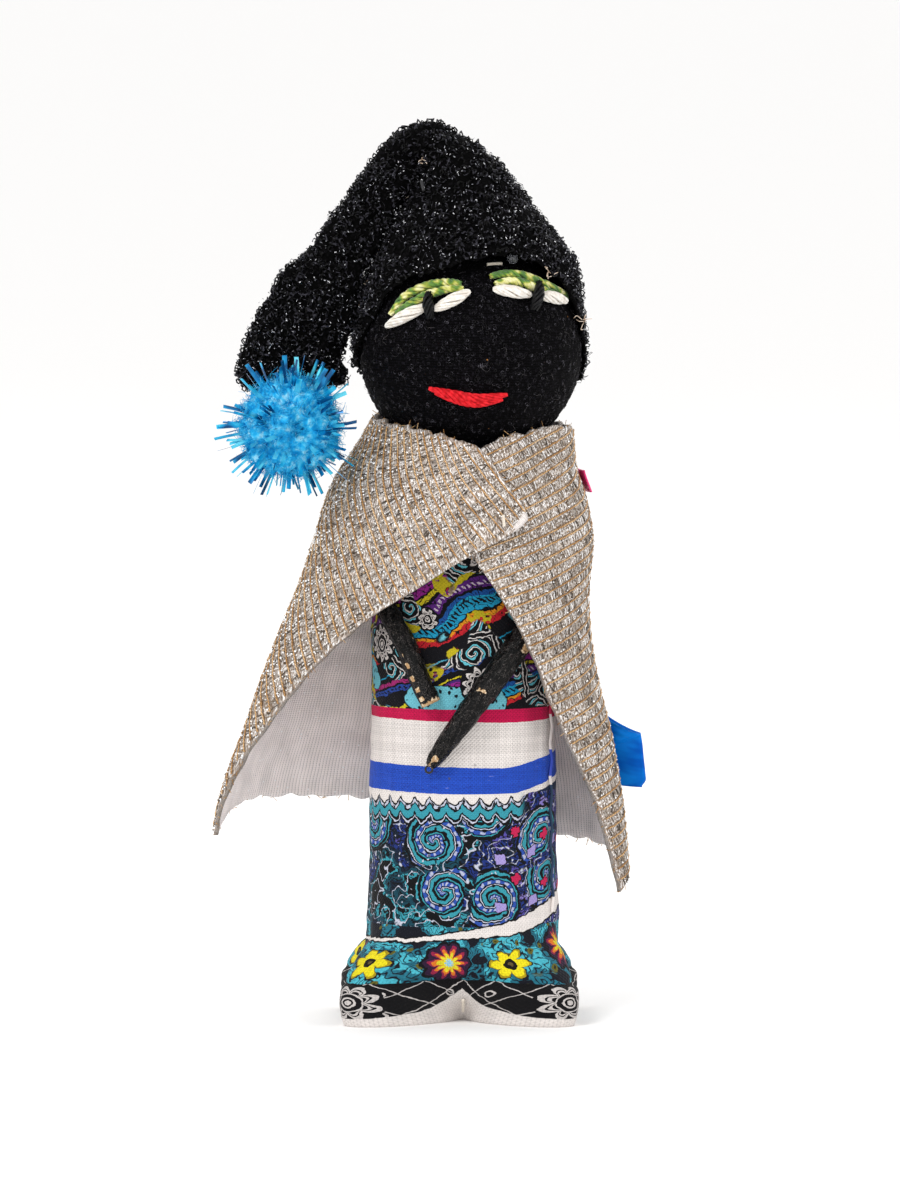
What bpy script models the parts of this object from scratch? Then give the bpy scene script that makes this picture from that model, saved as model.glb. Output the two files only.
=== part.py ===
"""A stuffed cloth doll: pinched cotton body, knit head, looped cap with a tinsel ball, wrapped cape.

Metres, +Z up. The doll faces -Y and stands on the middle of its base at the origin. Its own left
side, as the viewer sees it, is at -X.
"""

import math

import bmesh
import bpy
from mathutils import Vector

MM = 0.001

# Clearance between pieces that touch, and the cloths
GAP = 0.3 * MM
COTTON = 0.6 * MM
KNIT = 0.8 * MM
LOOPED_YARN = 1.8 * MM
CAPE_CLOTH = 1.2 * MM
RIBBON_CLOTH = 0.5 * MM
WELD = 0.001 * MM

# Body: a stuffed tube with a four-cornered pinched base and a sleeve for the neck
BODY_HALF_WIDTH = 21.5 * MM
BODY_HALF_DEPTH = 19.0 * MM
BODY_HEIGHT = 123.5 * MM
SHOULDER_DROP = 14.0 * MM
SLEEVE_HEIGHT = 5.0 * MM
NECK_RADIUS = 8.5 * MM
FIN_REACH = 26.2 * MM
FIN_HEIGHT = 25.0 * MM
FIN_SHARPNESS = 2.6

# Head: a ball on a short neck, set a little to the doll's right
HEAD_RADIUS = 25.5 * MM
HEAD_OFFSET = 1.8 * MM
NECK_SHOW = 1.6 * MM
NECK_DEPTH = 9.0 * MM

# Cap and its folded tail
PEAK_RISE = 52.3 * MM
PEAK_LEAN = 9.4 * MM
CAP_EASE = 0.6 * MM
TAIL_HALF_THICKNESS = 5.0 * MM
TAIL_HALF_WIDTH = 10.3 * MM
TAIL_REACH = 42.3 * MM
TAIL_FORWARD = 1.0 * MM
TAIL_CLEARANCE = 0.9 * MM
TAIL_SPREAD = 6.0 * MM

# Tinsel ball
BALL_RADIUS = 11.3 * MM
TINSEL_REACH = 17.0 * MM
TINSEL_WIDTH = 0.9 * MM
TINSEL_BACKING = 0.4 * MM
BALL_LEFT = 41.4 * MM
BALL_FORWARD = 14.0 * MM
BALL_DROP = 17.4 * MM

# Cape, measured down from the top of its collar
COLLAR_DROP = 15.2 * MM
COLLAR_SLACK = 2.4 * MM
CAPE_LEFT_REACH = 57.5 * MM
CAPE_RIGHT_REACH = 38.2 * MM
CAPE_FRONT_DEPTH = 31.0 * MM
CAPE_BACK_DEPTH = 28.0 * MM
CAPE_LEFT_DROP = 97.0 * MM
CAPE_RIGHT_DROP = 109.0 * MM
FLAP_DROP = 22.5 * MM
CAPE_TUCK = 2.4 * MM
CROSSING_DROP = 27.0 * MM
CAPE_EASE = 12.0 * MM
FOLD_DEPTH = 1.3 * MM
FOLD_COUNT = 7

# Arms: rolled strips of leather
LEFT_ARM_RADIUS = 2.45 * MM
RIGHT_ARM_RADIUS = 3.1 * MM
ARM_RING_RADIUS = 0.8 * MM
ARM_RING_THREAD = 0.28 * MM

# Threads, floss, ribbon and bead
THREAD_RADIUS = 0.35 * MM
FLOSS_RADIUS = 1.05 * MM
LID_RADIUS = 0.75 * MM
BEAD_RADIUS = 1.3 * MM
STITCH_LENGTH = 2.6 * MM
BASE_STITCH_LIFT = 1.25 * MM
NECK_TIE_TURNS = 3
SEAM_STITCHES = 16
SEAM_LENGTH = 62.0 * MM
SEAM_TURN = math.radians(-24)
SEAM_SWING = math.radians(1.5)
FOLD_STITCH_TURN = math.radians(44)
FOLD_STITCH_STEP = math.radians(3)
RIBBON_WIDTH = 16.5 * MM
RIBBON_REACH = 42.3 * MM
RIBBON_DROP = 77.2 * MM
RIBBON_SPREAD = 2.0 * MM
TAB_WIDTH = 5.0 * MM
TAB_DROP = 15.4 * MM
TAB_STAND = 0.5 * MM

# Heights that the sizes above give
SHOULDER_HEIGHT = BODY_HEIGHT - SHOULDER_DROP
SLEEVE_TOP = BODY_HEIGHT + SLEEVE_HEIGHT
HEAD_HEIGHT = SLEEVE_TOP + math.sqrt(HEAD_RADIUS ** 2 - NECK_RADIUS ** 2) + NECK_SHOW
PEAK_HEIGHT = HEAD_HEIGHT + PEAK_RISE
COLLAR_TOP = HEAD_HEIGHT - COLLAR_DROP
HEAD_CENTRE = Vector((HEAD_OFFSET, 0, HEAD_HEIGHT))

# Columns and rows of the larger forms, and points of the threads
BODY_COLUMNS = 40
STUFFING_COLUMNS = 16
HEAD_COLUMNS = 28
HEAD_ROWS = 12
HEAD_STUFFING_COLUMNS = 14
HEAD_STUFFING_ROWS = 7
CAP_COLUMNS = 32
CAP_ROWS = 10
CAPE_COLUMNS = 42
CAPE_ROWS = 12
TAIL_COLUMNS = 18
TAIL_ROWS = 12
RIBBON_COLUMNS = 22
TAB_COLUMNS = 8
BEAD_COLUMNS = 12
BEAD_ROWS = 7
BALL_DIVISION_COUNT = 3
LEFT_ARM_COUNT = 13
RIGHT_ARM_COUNT = 15
TURN_COUNT = 12

# The pinched base: share of the fin's height, of its reach, and of the body's width between fins
fin_shares = (
    (0.00, 0.97, 0.46),
    (0.10, 1.02, 0.60),
    (0.24, 1.02, 0.84),
    (0.40, 0.92, 0.97),
    (0.58, 0.55, 1.01),
    (0.78, 0.20, 1.02),
    (1.00, 0.00, 1.02),
)
# The tube above the fins: share of its height, and of the body's width
tube_shares = ((0.0, 1.02), (0.25, 1.00), (0.6, 0.99), (0.85, 0.985), (1.0, 0.97))
tube_row_shares = (0.25, 0.5, 0.75, 1.0)
# The shoulders: share of their drop, and how far they have closed to the neck
shoulder_shares = ((0.0, 0.0), (0.35, 0.10), (0.62, 0.32), (0.82, 0.60), (1.0, 1.0))
# The filling's bottom: share of the fin's height, and of the tube's width; its rows in the shoulders
filling_shares = ((0.05, 0.30), (0.20, 0.62), (0.35, 0.86), (0.55, 0.97), (1.0, 1.0))
filling_row_shares = (0.35, 0.62)
# The stitches that hold the base pinched, as shares of the fin's height
base_stitch_shares = (0.10, 0.16, 0.22)

# The cap's inside over the head's middle: share of its rise, of its radius, and of its lean
cap_shares = (
    (0.00, 1.000, 0.00),
    (0.20, 0.955, 0.00),
    (0.39, 0.850, 0.00),
    (0.61, 0.590, 0.02),
    (0.77, 0.375, 0.18),
    (0.93, 0.220, 0.57),
    (0.98, 0.125, 0.88),
    (1.00, 0.000, 1.00),
)
# The cap's edge: share of a turn from the front towards the doll's left, and of the head's radius
# that the edge lies over the head's middle
cap_edge_shares = (
    (0.00, 0.83),
    (0.06, 0.74),
    (0.11, 0.65),
    (0.15, 0.47),
    (0.19, 0.16),
    (0.25, -0.12),
    (0.36, -0.34),
    (0.50, -0.46),
    (0.64, -0.36),
    (0.75, -0.20),
    (0.79, 0.22),
    (0.82, 0.52),
    (0.87, 0.76),
    (0.93, 0.88),
    (1.00, 0.83),
)
# The tail: share of its length, then of its reach to the left, of the peak's rise over the head's
# middle, of its half width and of its half thickness
tail_shares = (
    (0.00, 0.272, 0.887, 0.31, 0.60),
    (0.12, 0.385, 0.782, 0.45, 0.85),
    (0.28, 0.527, 0.616, 0.49, 1.00),
    (0.46, 0.676, 0.444, 0.56, 1.00),
    (0.58, 0.766, 0.314, 0.78, 1.00),
    (0.72, 0.868, 0.174, 0.95, 1.00),
    (0.84, 0.950, 0.040, 1.00, 1.00),
    (0.95, 0.988, -0.088, 0.95, 0.90),
    (1.00, 1.000, -0.145, 0.85, 0.75),
)
# The stitch that holds the fold: shares of the peak's rise that its points lie under the peak
fold_stitch_shares = (0.30, 0.28, 0.26)
# The tinsel: where round the tail's end its thread hangs, the way to the head, how near the ways
# to the tail and the head come before strands are left off, and the strands' lengths
hanger_turn_share = 0.75
head_way_shares = (1.0, 0.45, 0.15)
opening_share = 0.93
tail_side_share = 0.55
head_side_share = 0.80
strand_shares = (0.92, 0.08)

# The cape's plan: share of its whole drop, then how far the section has grown from the collar to
# the reach on the left, on the right, at the front and at the back
cape_shares = (
    (0.00, 0.00, 0.00, 0.00, 0.00),
    (0.06, 0.10, 0.02, 0.28, 0.10),
    (0.12, 0.22, 0.08, 0.62, 0.24),
    (0.17, 0.29, 0.22, 0.84, 0.36),
    (0.26, 0.37, 0.35, 1.00, 0.52),
    (0.37, 0.48, 0.28, 1.00, 0.66),
    (0.47, 0.60, 0.32, 0.92, 0.76),
    (0.57, 0.71, 0.46, 0.66, 0.84),
    (0.67, 0.81, 0.66, 0.26, 0.90),
    (0.75, 0.90, 0.78, 0.00, 0.94),
    (0.85, 0.98, 0.90, -0.30, 0.97),
    (1.00, 1.03, 1.00, -0.50, 1.00),
)
# The free edges: share of the way up from the tip, and the turn from the middle of the back in
# shares of half a turn
left_edge_shares = (
    (0.00, 0.51),
    (0.16, 0.57),
    (0.26, 0.60),
    (0.36, 0.64),
    (0.46, 0.683),
    (0.54, 0.72),
    (0.63, 0.774),
    (0.71, 0.829),
    (0.78, 0.898),
    (0.88, 1.00),
    (1.00, 1.17),
    (1.12, 1.20),
)
right_edge_shares = (
    (0.00, 0.605),
    (0.10, 0.638),
    (0.20, 0.668),
    (0.27, 0.69),
    (0.36, 0.73),
    (0.44, 0.757),
    (0.52, 0.783),
    (0.60, 0.803),
    (0.68, 0.836),
    (0.77, 0.885),
    (0.86, 0.945),
    (0.94, 1.00),
    (1.02, 1.08),
)
# The collar's edge: share of a panel's width from the middle of the back, and of the flap's drop
collar_left_shares = (
    (0.00, 0.00),
    (0.42, 0.02),
    (0.70, 0.10),
    (0.80, 0.18),
    (0.87, 0.28),
    (0.93, 0.60),
    (1.00, 1.00),
)
collar_right_shares = (
    (0.00, 0.00),
    (0.46, 0.14),
    (0.58, 0.09),
    (0.72, 0.14),
    (0.86, 0.27),
    (0.93, 0.55),
    (1.00, 1.12),
)
# Where the right panel tucks in under the left one, in shares of half a turn
tuck_turn_shares = (0.58, 0.76)
# The hem: share of a panel's width from the middle of the back, and of that panel's drop
hem_left_shares = ((0.00, 0.955), (0.38, 0.925), (0.70, 0.93), (0.88, 0.965), (1.00, 1.00))
hem_right_shares = ((0.00, 0.85), (0.31, 0.905), (0.45, 0.915), (0.60, 0.93), (0.80, 0.965), (1.00, 1.00))

# The cape's tack stitch, ribbon and tab: turns from the middle of the back in shares of half a turn;
# then the ribbon's width at its fold, and its rows
tack_turn_share = 1.10
ribbon_turn_shares = (0.20, 0.26, 0.32, 0.38)
tab_turn_shares = (0.30, 0.50)
ribbon_fold_share = 0.68
ribbon_row_shares = (-1.0, -0.34, 0.34, 1.0)

# The arms: turn from the doll's right side, as shares of a turn, share of the body's height, and
# of the arm's own radius
left_arm_shares = (
    (0.515, 0.925, 0.80),
    (0.545, 0.875, 0.95),
    (0.585, 0.825, 1.00),
    (0.627, 0.765, 1.00),
    (0.662, 0.700, 1.00),
    (0.684, 0.640, 1.00),
    (0.700, 0.600, 0.92),
)
right_arm_shares = (
    (0.985, 0.900, 0.75),
    (0.945, 0.850, 0.95),
    (0.892, 0.785, 1.00),
    (0.838, 0.710, 1.00),
    (0.790, 0.635, 0.98),
    (0.745, 0.560, 0.86),
    (0.712, 0.505, 0.66),
    (0.700, 0.485, 0.45),
)

# The face: places across and above the head's middle, in shares of its radius
left_white_shares = (
    ((-0.71, 0.24), (-0.56, 0.32), (-0.41, 0.37)),
    ((-0.26, 0.42), (-0.15, 0.46), (-0.04, 0.49)),
)
left_iris_shares = ((-0.335, 0.29), (-0.335, 0.37), (-0.335, 0.45))
left_lid_shares = (
    ((-0.70, 0.35), (-0.61, 0.47), (-0.43, 0.58), (-0.24, 0.60), (-0.05, 0.61)),
    ((-0.63, 0.37), (-0.54, 0.43), (-0.42, 0.49), (-0.24, 0.53), (-0.06, 0.55)),
)
right_white_shares = (
    ((0.21, 0.54), (0.35, 0.52), (0.47, 0.49)),
    ((0.63, 0.475), (0.73, 0.45), (0.82, 0.41)),
)
right_iris_shares = ((0.55, 0.36), (0.55, 0.45), (0.55, 0.53))
right_lid_shares = (
    ((0.15, 0.69), (0.34, 0.705), (0.53, 0.67), (0.70, 0.58), (0.83, 0.485)),
    ((0.17, 0.62), (0.34, 0.635), (0.51, 0.60), (0.67, 0.53), (0.75, 0.50)),
)
mouth_shares = (
    ((-0.37, -0.29), (-0.17, -0.335), (0.05, -0.37), (0.31, -0.34)),
    ((-0.27, -0.40), (-0.12, -0.43), (0.06, -0.46), (0.28, -0.43)),
)
bead_share = (0.35, 0.785)
forehead_stitch_shares = ((0.14, 0.765), (0.20, 0.77), (0.27, 0.77))


def clear_scene():
    """Remove what the scene held before."""
    for old in list(bpy.data.objects):
        bpy.data.objects.remove(old, do_unlink=True)


def collection(name):
    """A new collection under the scene's own."""
    made = bpy.data.collections.new(name)
    bpy.context.scene.collection.children.link(made)
    return made


def finish_of(name, colour, roughness, metallic=0.0):
    """A Principled material of one colour."""
    made = bpy.data.materials.new(name)
    made.use_nodes = True
    shader = made.node_tree.nodes["Principled BSDF"]
    shader.inputs["Base Color"].default_value = (*colour, 1.0)
    shader.inputs["Roughness"].default_value = roughness
    shader.inputs["Metallic"].default_value = metallic
    return made


def read_row(rows, share):
    """The columns of a table at a share along it, on a smooth curve through its rows."""
    share = min(max(share, rows[0][0]), rows[-1][0])
    last = len(rows) - 1
    low = max(index for index in range(last) if rows[index][0] <= share)

    def slope(index, column):
        before = rows[max(index - 1, 0)]
        after = rows[min(index + 1, last)]
        return (after[column] - before[column]) / (after[0] - before[0])

    start, end = rows[low], rows[low + 1]
    step = end[0] - start[0]
    t = (share - start[0]) / step
    values = []
    for column in range(1, len(start)):
        rise = slope(low, column) * step
        fall = slope(low + 1, column) * step
        values.append(
            (2 * t ** 3 - 3 * t ** 2 + 1) * start[column]
            + (t ** 3 - 2 * t ** 2 + t) * rise
            + (3 * t ** 2 - 2 * t ** 3) * end[column]
            + (t ** 3 - t ** 2) * fall
        )
    return values


def smooth_step(low, high, value):
    """Nought below low, one above high, and smooth between."""
    t = min(max((value - low) / (high - low), 0.0), 1.0)
    return t * t * (3 - 2 * t)


def add_mesh(name, bm, material, group):
    """A new object from a bmesh, shaded smooth."""
    mesh = bpy.data.meshes.new(name)
    bm.to_mesh(mesh)
    bm.free()
    mesh.materials.append(material)
    mesh.shade_smooth()
    made = bpy.data.objects.new(name, mesh)
    group.objects.link(made)
    return made


def mapped_grid(name, columns, stations, place, material, group, cloth=0.0):
    """A grid bent to place(share across, station), welded where its edges meet; cloth thickens it inwards."""
    bm = bmesh.new()
    rows = len(stations) - 1
    bmesh.ops.create_grid(bm, x_segments=columns, y_segments=rows, size=0.5)
    for vertex in bm.verts:
        row = round((vertex.co.y + 0.5) * rows)
        vertex.co = place(vertex.co.x + 0.5, stations[row])
    bmesh.ops.remove_doubles(bm, verts=bm.verts, dist=WELD)
    bmesh.ops.dissolve_degenerate(bm, edges=bm.edges, dist=WELD)
    made = add_mesh(name, bm, material, group)
    if cloth:
        thickness = made.modifiers.new("cloth", "SOLIDIFY")
        thickness.thickness = cloth
        thickness.offset = -1
    return made


def thread(name, path, radius, material, group, sides=2, closed=False):
    """A round thread along a path of (place, width share) points."""
    curve = bpy.data.curves.new(name, "CURVE")
    curve.dimensions = "3D"
    curve.bevel_depth = radius
    curve.bevel_resolution = sides
    curve.use_fill_caps = not closed
    spline = curve.splines.new("POLY")
    spline.points.add(len(path) - 1)
    for point, (place, width_share) in zip(spline.points, path):
        point.co = (*place, 1.0)
        point.radius = width_share
    spline.use_cyclic_u = closed
    curve.materials.append(material)
    made = bpy.data.objects.new(name, curve)
    group.objects.link(made)
    return made


def even_path(places, count):
    """Points on a smooth curve through the places, each with a full width."""
    last = len(places) - 1
    rows = [(index / last, *place) for index, place in enumerate(places)]
    return [(Vector(read_row(rows, step / (count - 1))), 1.0) for step in range(count)]


def body_stretch(height):
    """Reach of the fins, width between them and closing of the shoulders at a height."""
    if height < FIN_HEIGHT:
        reach, width = read_row(fin_shares, height / FIN_HEIGHT)
        return reach, width, 0.0
    (width,) = read_row(tube_shares, (height - FIN_HEIGHT) / (SHOULDER_HEIGHT - FIN_HEIGHT))
    (closing,) = read_row(shoulder_shares, (height - SHOULDER_HEIGHT) / SHOULDER_DROP)
    return 0.0, width, closing if height > SHOULDER_HEIGHT else 0.0


def body_point(angle, height):
    """A point on the body's cloth, at an angle from +X and a height over the floor."""
    reach, width, closing = body_stretch(height)
    tip = 1 + reach * (FIN_REACH / (BODY_HALF_WIDTH * math.cos(math.pi / 4)) - 1)
    pinch = abs(math.sin(2 * angle)) ** FIN_SHARPNESS
    scale = width + max(tip - width, 0.0) * pinch
    across = BODY_HALF_WIDTH * scale * math.cos(angle)
    along = BODY_HALF_DEPTH * scale * math.sin(angle)
    neck_across = HEAD_OFFSET + NECK_RADIUS * math.cos(angle)
    neck_along = NECK_RADIUS * math.sin(angle)
    return Vector((
        across + (neck_across - across) * closing,
        along + (neck_along - along) * closing,
        height,
    ))


def off_body(angle, height, lift):
    """A point that stands off the body's tube by a distance along its outward side."""
    outward = Vector((math.cos(angle) / BODY_HALF_WIDTH, math.sin(angle) / BODY_HALF_DEPTH, 0))
    return body_point(angle, height) + outward.normalized() * lift


def on_head(across_share, up_share, lift):
    """A point in front of the head's ball, at shares of its radius and a distance off it."""
    front_share = math.sqrt(max(1 - across_share ** 2 - up_share ** 2, 0.0))
    return HEAD_CENTRE + Vector((across_share, -front_share, up_share)) * (HEAD_RADIUS + lift)


def head_radius_at(height):
    """Radius of the head's ball at a height."""
    return math.sqrt(max(HEAD_RADIUS ** 2 - (height - HEAD_HEIGHT) ** 2, 0.0))


def cape_end(panel, height):
    """Turn of a panel's free edge from the middle of the back, at a height."""
    if panel > 0:
        tip = COLLAR_TOP - CAPE_LEFT_DROP
        rows = left_edge_shares
    else:
        tip = COLLAR_TOP - CAPE_RIGHT_DROP
        rows = right_edge_shares
    flap = COLLAR_TOP - FLAP_DROP
    (turn,) = read_row(rows, (height - tip) / (flap - tip))
    return turn * math.pi


def cape_point(turn, height, lift=0.0):
    """A point on the cape's outer side, at a turn from the middle of the back towards the left."""
    drop_share = (COLLAR_TOP - height) / CAPE_RIGHT_DROP
    left, right, front, back = read_row(cape_shares, drop_share)
    collar = head_radius_at(COLLAR_TOP) + GAP + CAPE_CLOTH
    under = smooth_step(*tuck_turn_shares, -turn / math.pi)
    crossing = COLLAR_TOP - CROSSING_DROP
    tuck = CAPE_TUCK * under * smooth_step(crossing - CAPE_EASE, crossing, height)
    behind = max(math.cos(turn / 2), 0.0) ** 2
    fold = FOLD_DEPTH * max(drop_share, 0.0) * math.cos(FOLD_COUNT * turn) * behind
    push = lift + fold - tuck
    left_half = collar - HEAD_OFFSET + left * (CAPE_LEFT_REACH - collar + HEAD_OFFSET)
    right_collar = collar + HEAD_OFFSET + COLLAR_SLACK / 2
    right_half = right_collar + right * (CAPE_RIGHT_REACH - right_collar)
    front_collar = collar - COLLAR_SLACK / 2
    front_half = front_collar + front * (CAPE_FRONT_DEPTH - front_collar)
    back_half = collar + back * (CAPE_BACK_DEPTH - collar)
    half_width = (left_half if math.sin(turn) > 0 else right_half) + push
    half_depth = (back_half if math.cos(turn) > 0 else front_half) + push
    return Vector((-half_width * math.sin(turn), half_depth * math.cos(turn), height))


def cape_place(across, station):
    """The cape's cloth: from the right free edge round the back to the left one, hem to collar."""
    panel = 2 * across - 1
    share = abs(panel)
    if panel > 0:
        (collar,) = read_row(collar_left_shares, share)
        (hem,) = read_row(hem_left_shares, share)
        low = COLLAR_TOP - hem * CAPE_LEFT_DROP
    else:
        (collar,) = read_row(collar_right_shares, share)
        (hem,) = read_row(hem_right_shares, share)
        low = COLLAR_TOP - hem * CAPE_RIGHT_DROP
    high = COLLAR_TOP - collar * FLAP_DROP
    height = low + (high - low) * station
    return cape_point(panel * cape_end(panel, height), height)


def cap_point(turn, height, lift=0.0):
    """A point on the cap's inside, at a turn from the front towards the doll's left."""
    radius = HEAD_RADIUS + CAP_EASE
    if height < HEAD_HEIGHT:
        across = math.sqrt(radius ** 2 - (height - HEAD_HEIGHT) ** 2)
        lean = 0.0
    else:
        across_share, lean = read_row(cap_shares, (height - HEAD_HEIGHT) / (PEAK_RISE - LOOPED_YARN))
        across = radius * across_share
    across += lift if across else 0.0
    middle = HEAD_OFFSET - PEAK_LEAN * lean
    return Vector((middle - across * math.sin(turn), -across * math.cos(turn), height))


def cap_place(across, station):
    """The cap's cloth: once round the head, and from its outer edge to the peak."""
    turn = -across * 2 * math.pi
    (edge_share,) = read_row(cap_edge_shares, (1 - across))
    edge = HEAD_HEIGHT + edge_share * HEAD_RADIUS
    top = PEAK_HEIGHT - LOOPED_YARN
    height = edge + (top - edge) * station
    return cap_point(turn, height)


def tail_place(across, station):
    """The tail's skin: flat oval sections along its length, kept off the cap, closed at both ends."""
    along = min(max(station, 0.0), 1.0)
    step = 0.01
    left, rise, width, thick = read_row(tail_shares, along)
    before = read_row(tail_shares, along - step)
    after = read_row(tail_shares, along + step)
    middle = Vector((-left * TAIL_REACH, -TAIL_FORWARD, HEAD_HEIGHT + rise * PEAK_RISE))
    run = Vector((-(after[0] - before[0]) * TAIL_REACH, 0, (after[1] - before[1]) * PEAK_RISE)).normalized()
    side = Vector((run.z, 0, -run.x))
    half = TAIL_HALF_WIDTH * width
    inner = middle - side * half
    slack = cap_point(math.pi / 2, inner.z, LOOPED_YARN).x - TAIL_CLEARANCE - inner.x
    if slack < 0:
        middle.x += slack
    else:
        spread = min(slack * abs(side.x), TAIL_SPREAD) / 2
        half += spread
        middle -= side * spread
    angle = across * 2 * math.pi
    if station < 0:
        return middle - run * TAIL_HALF_THICKNESS / 2
    if station > 1:
        return middle + run * TAIL_HALF_THICKNESS / 4
    deep = Vector((0, TAIL_HALF_THICKNESS * thick * math.sin(angle), 0))
    return middle + side * half * math.cos(angle) + deep


def make_body(group, finishes):
    """The cotton sack, its filling, and the stitches in its cloth."""
    low = [0.0] + [row[0] * FIN_HEIGHT for row in fin_shares[1:]]
    tube = [FIN_HEIGHT + share * (SHOULDER_HEIGHT - FIN_HEIGHT) for share in tube_row_shares]
    shoulder = [SHOULDER_HEIGHT + row[0] * SHOULDER_DROP for row in shoulder_shares[1:]]
    below = -COTTON

    def place_cover(across, height):
        if height < 0:
            return Vector((0, 0, 0))
        if height > BODY_HEIGHT:
            return body_point(across * 2 * math.pi, BODY_HEIGHT) + Vector((0, 0, height - BODY_HEIGHT))
        return body_point(across * 2 * math.pi, height)

    stations = [below] + low + tube + shoulder + [SLEEVE_TOP]
    mapped_grid("body_cover", BODY_COLUMNS, stations, place_cover, finishes["cotton"], group, COTTON)

    # The filling is round at the bottom: the pinched corners are empty folds of cloth
    inset = COTTON + 2 * GAP
    filled_low = [row[0] * FIN_HEIGHT for row in filling_shares]
    filled_top = [SHOULDER_HEIGHT + share * SHOULDER_DROP for share in filling_row_shares]
    bottom = filled_low[0] - GAP
    top = SLEEVE_TOP - NECK_DEPTH - 2 * GAP

    def place_filling(across, height):
        angle = across * 2 * math.pi
        if height <= bottom:
            return Vector((0, 0, filled_low[0]))
        if height >= top:
            return Vector((HEAD_OFFSET, 0, top))
        if height <= FIN_HEIGHT:
            (share,) = read_row(filling_shares, height / FIN_HEIGHT)
            (width,) = read_row(tube_shares, 0.0)
            across_half = (BODY_HALF_WIDTH * width - inset) * share
            along_half = (BODY_HALF_DEPTH * width - inset) * share
            return Vector((across_half * math.cos(angle), along_half * math.sin(angle), height))
        return off_body(angle, height, -inset)

    filled_top = [height for height in filled_top if height < top - GAP]
    stations = [bottom] + filled_low + tube + filled_top + [top]
    mapped_grid("body_stuffing", STUFFING_COLUMNS, stations, place_filling, finishes["stuffing"], group)

    # A whipped thread closes the right side seam, swinging from one side of it to the other
    lift = GAP + THREAD_RADIUS
    pitch = SEAM_LENGTH / SEAM_STITCHES
    seam = []
    for index in range(SEAM_STITCHES + 1):
        side = 1 if index % 2 else -1
        turn = SEAM_TURN + side * SEAM_SWING
        seam.append((off_body(turn, FIN_HEIGHT + index * pitch, lift), 1.0))
    thread("side_seam_thread", seam, THREAD_RADIUS, finishes["thread"], group, 1)

    # One stitch holds each pinched side of the base
    for quarter, name in enumerate(("right", "back", "left", "front")):
        angle = quarter * math.pi / 2
        out = Vector((math.cos(angle), math.sin(angle), 0))
        heights = [share * FIN_HEIGHT for share in base_stitch_shares]
        pinch = [(body_point(angle, height) + out * BASE_STITCH_LIFT, 1.0) for height in heights]
        thread("base_stitch_" + name, pinch, THREAD_RADIUS, finishes["thread"], group, 1)

    # Thread wound round the sleeve to tie the neck in
    wound = NECK_RADIUS + GAP + THREAD_RADIUS
    rise = SLEEVE_HEIGHT - 4 * THREAD_RADIUS
    steps = NECK_TIE_TURNS * TURN_COUNT
    winding = []
    for step in range(steps + 1):
        angle = step / TURN_COUNT * 2 * math.pi
        height = BODY_HEIGHT + 3 * THREAD_RADIUS + rise * step / steps
        place = Vector((HEAD_OFFSET + wound * math.cos(angle), wound * math.sin(angle), height))
        winding.append((place, 1.0))
    print("least gap between turns of the neck tie, mm:", (rise / NECK_TIE_TURNS - 2 * THREAD_RADIUS) / MM)
    thread("neck_tie", winding, THREAD_RADIUS, finishes["thread"], group, 1)


def make_head(group, finishes):
    """The knit ball with its neck, and its filling, both turned round the head's own axis."""
    neck = NECK_RADIUS - COTTON - 2 * GAP
    foot = SLEEVE_TOP - NECK_DEPTH - HEAD_HEIGHT

    def turned(name, ball, neck_radius, foot_height, sides, arc_steps, material, opened):
        profile = ball_profile(ball, neck_radius, foot_height, arc_steps)
        if opened:
            profile += reversed(ball_profile(ball - KNIT, neck_radius - KNIT, foot_height, arc_steps))
        else:
            profile.append((0.0, foot_height))
        spin(name, profile, sides, material)

    def ball_profile(ball, neck_radius, foot_height, arc_steps):
        last = math.acos(neck_radius / ball)
        points = []
        for step in range(arc_steps + 1):
            angle = math.pi / 2 - step * (math.pi / 2 + last) / arc_steps
            points.append((ball * math.cos(angle), ball * math.sin(angle)))
        points.append((neck_radius, foot_height))
        return points

    def spin(name, profile, sides, material):
        mesh = bpy.data.meshes.new(name)
        points = [(max(across, 0.0), 0, height) for across, height in profile]
        edges = [(index, index + 1) for index in range(len(points) - 1)]
        mesh.from_pydata(points, edges, [])
        mesh.materials.append(material)
        made = bpy.data.objects.new(name, mesh)
        made.location = HEAD_CENTRE
        group.objects.link(made)
        screw = made.modifiers.new("turn", "SCREW")
        screw.axis = "Z"
        screw.steps = sides
        screw.render_steps = sides
        screw.use_merge_vertices = True
        screw.merge_threshold = WELD
        screw.use_smooth_shade = True
        return made

    turned("head_cover", HEAD_RADIUS, neck, foot, HEAD_COLUMNS, HEAD_ROWS, finishes["knit"], True)
    inset = KNIT + GAP
    turned(
        "head_stuffing", HEAD_RADIUS - inset, neck - inset, foot + GAP, HEAD_STUFFING_COLUMNS,
        HEAD_STUFFING_ROWS, finishes["stuffing"], False,
    )


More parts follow.
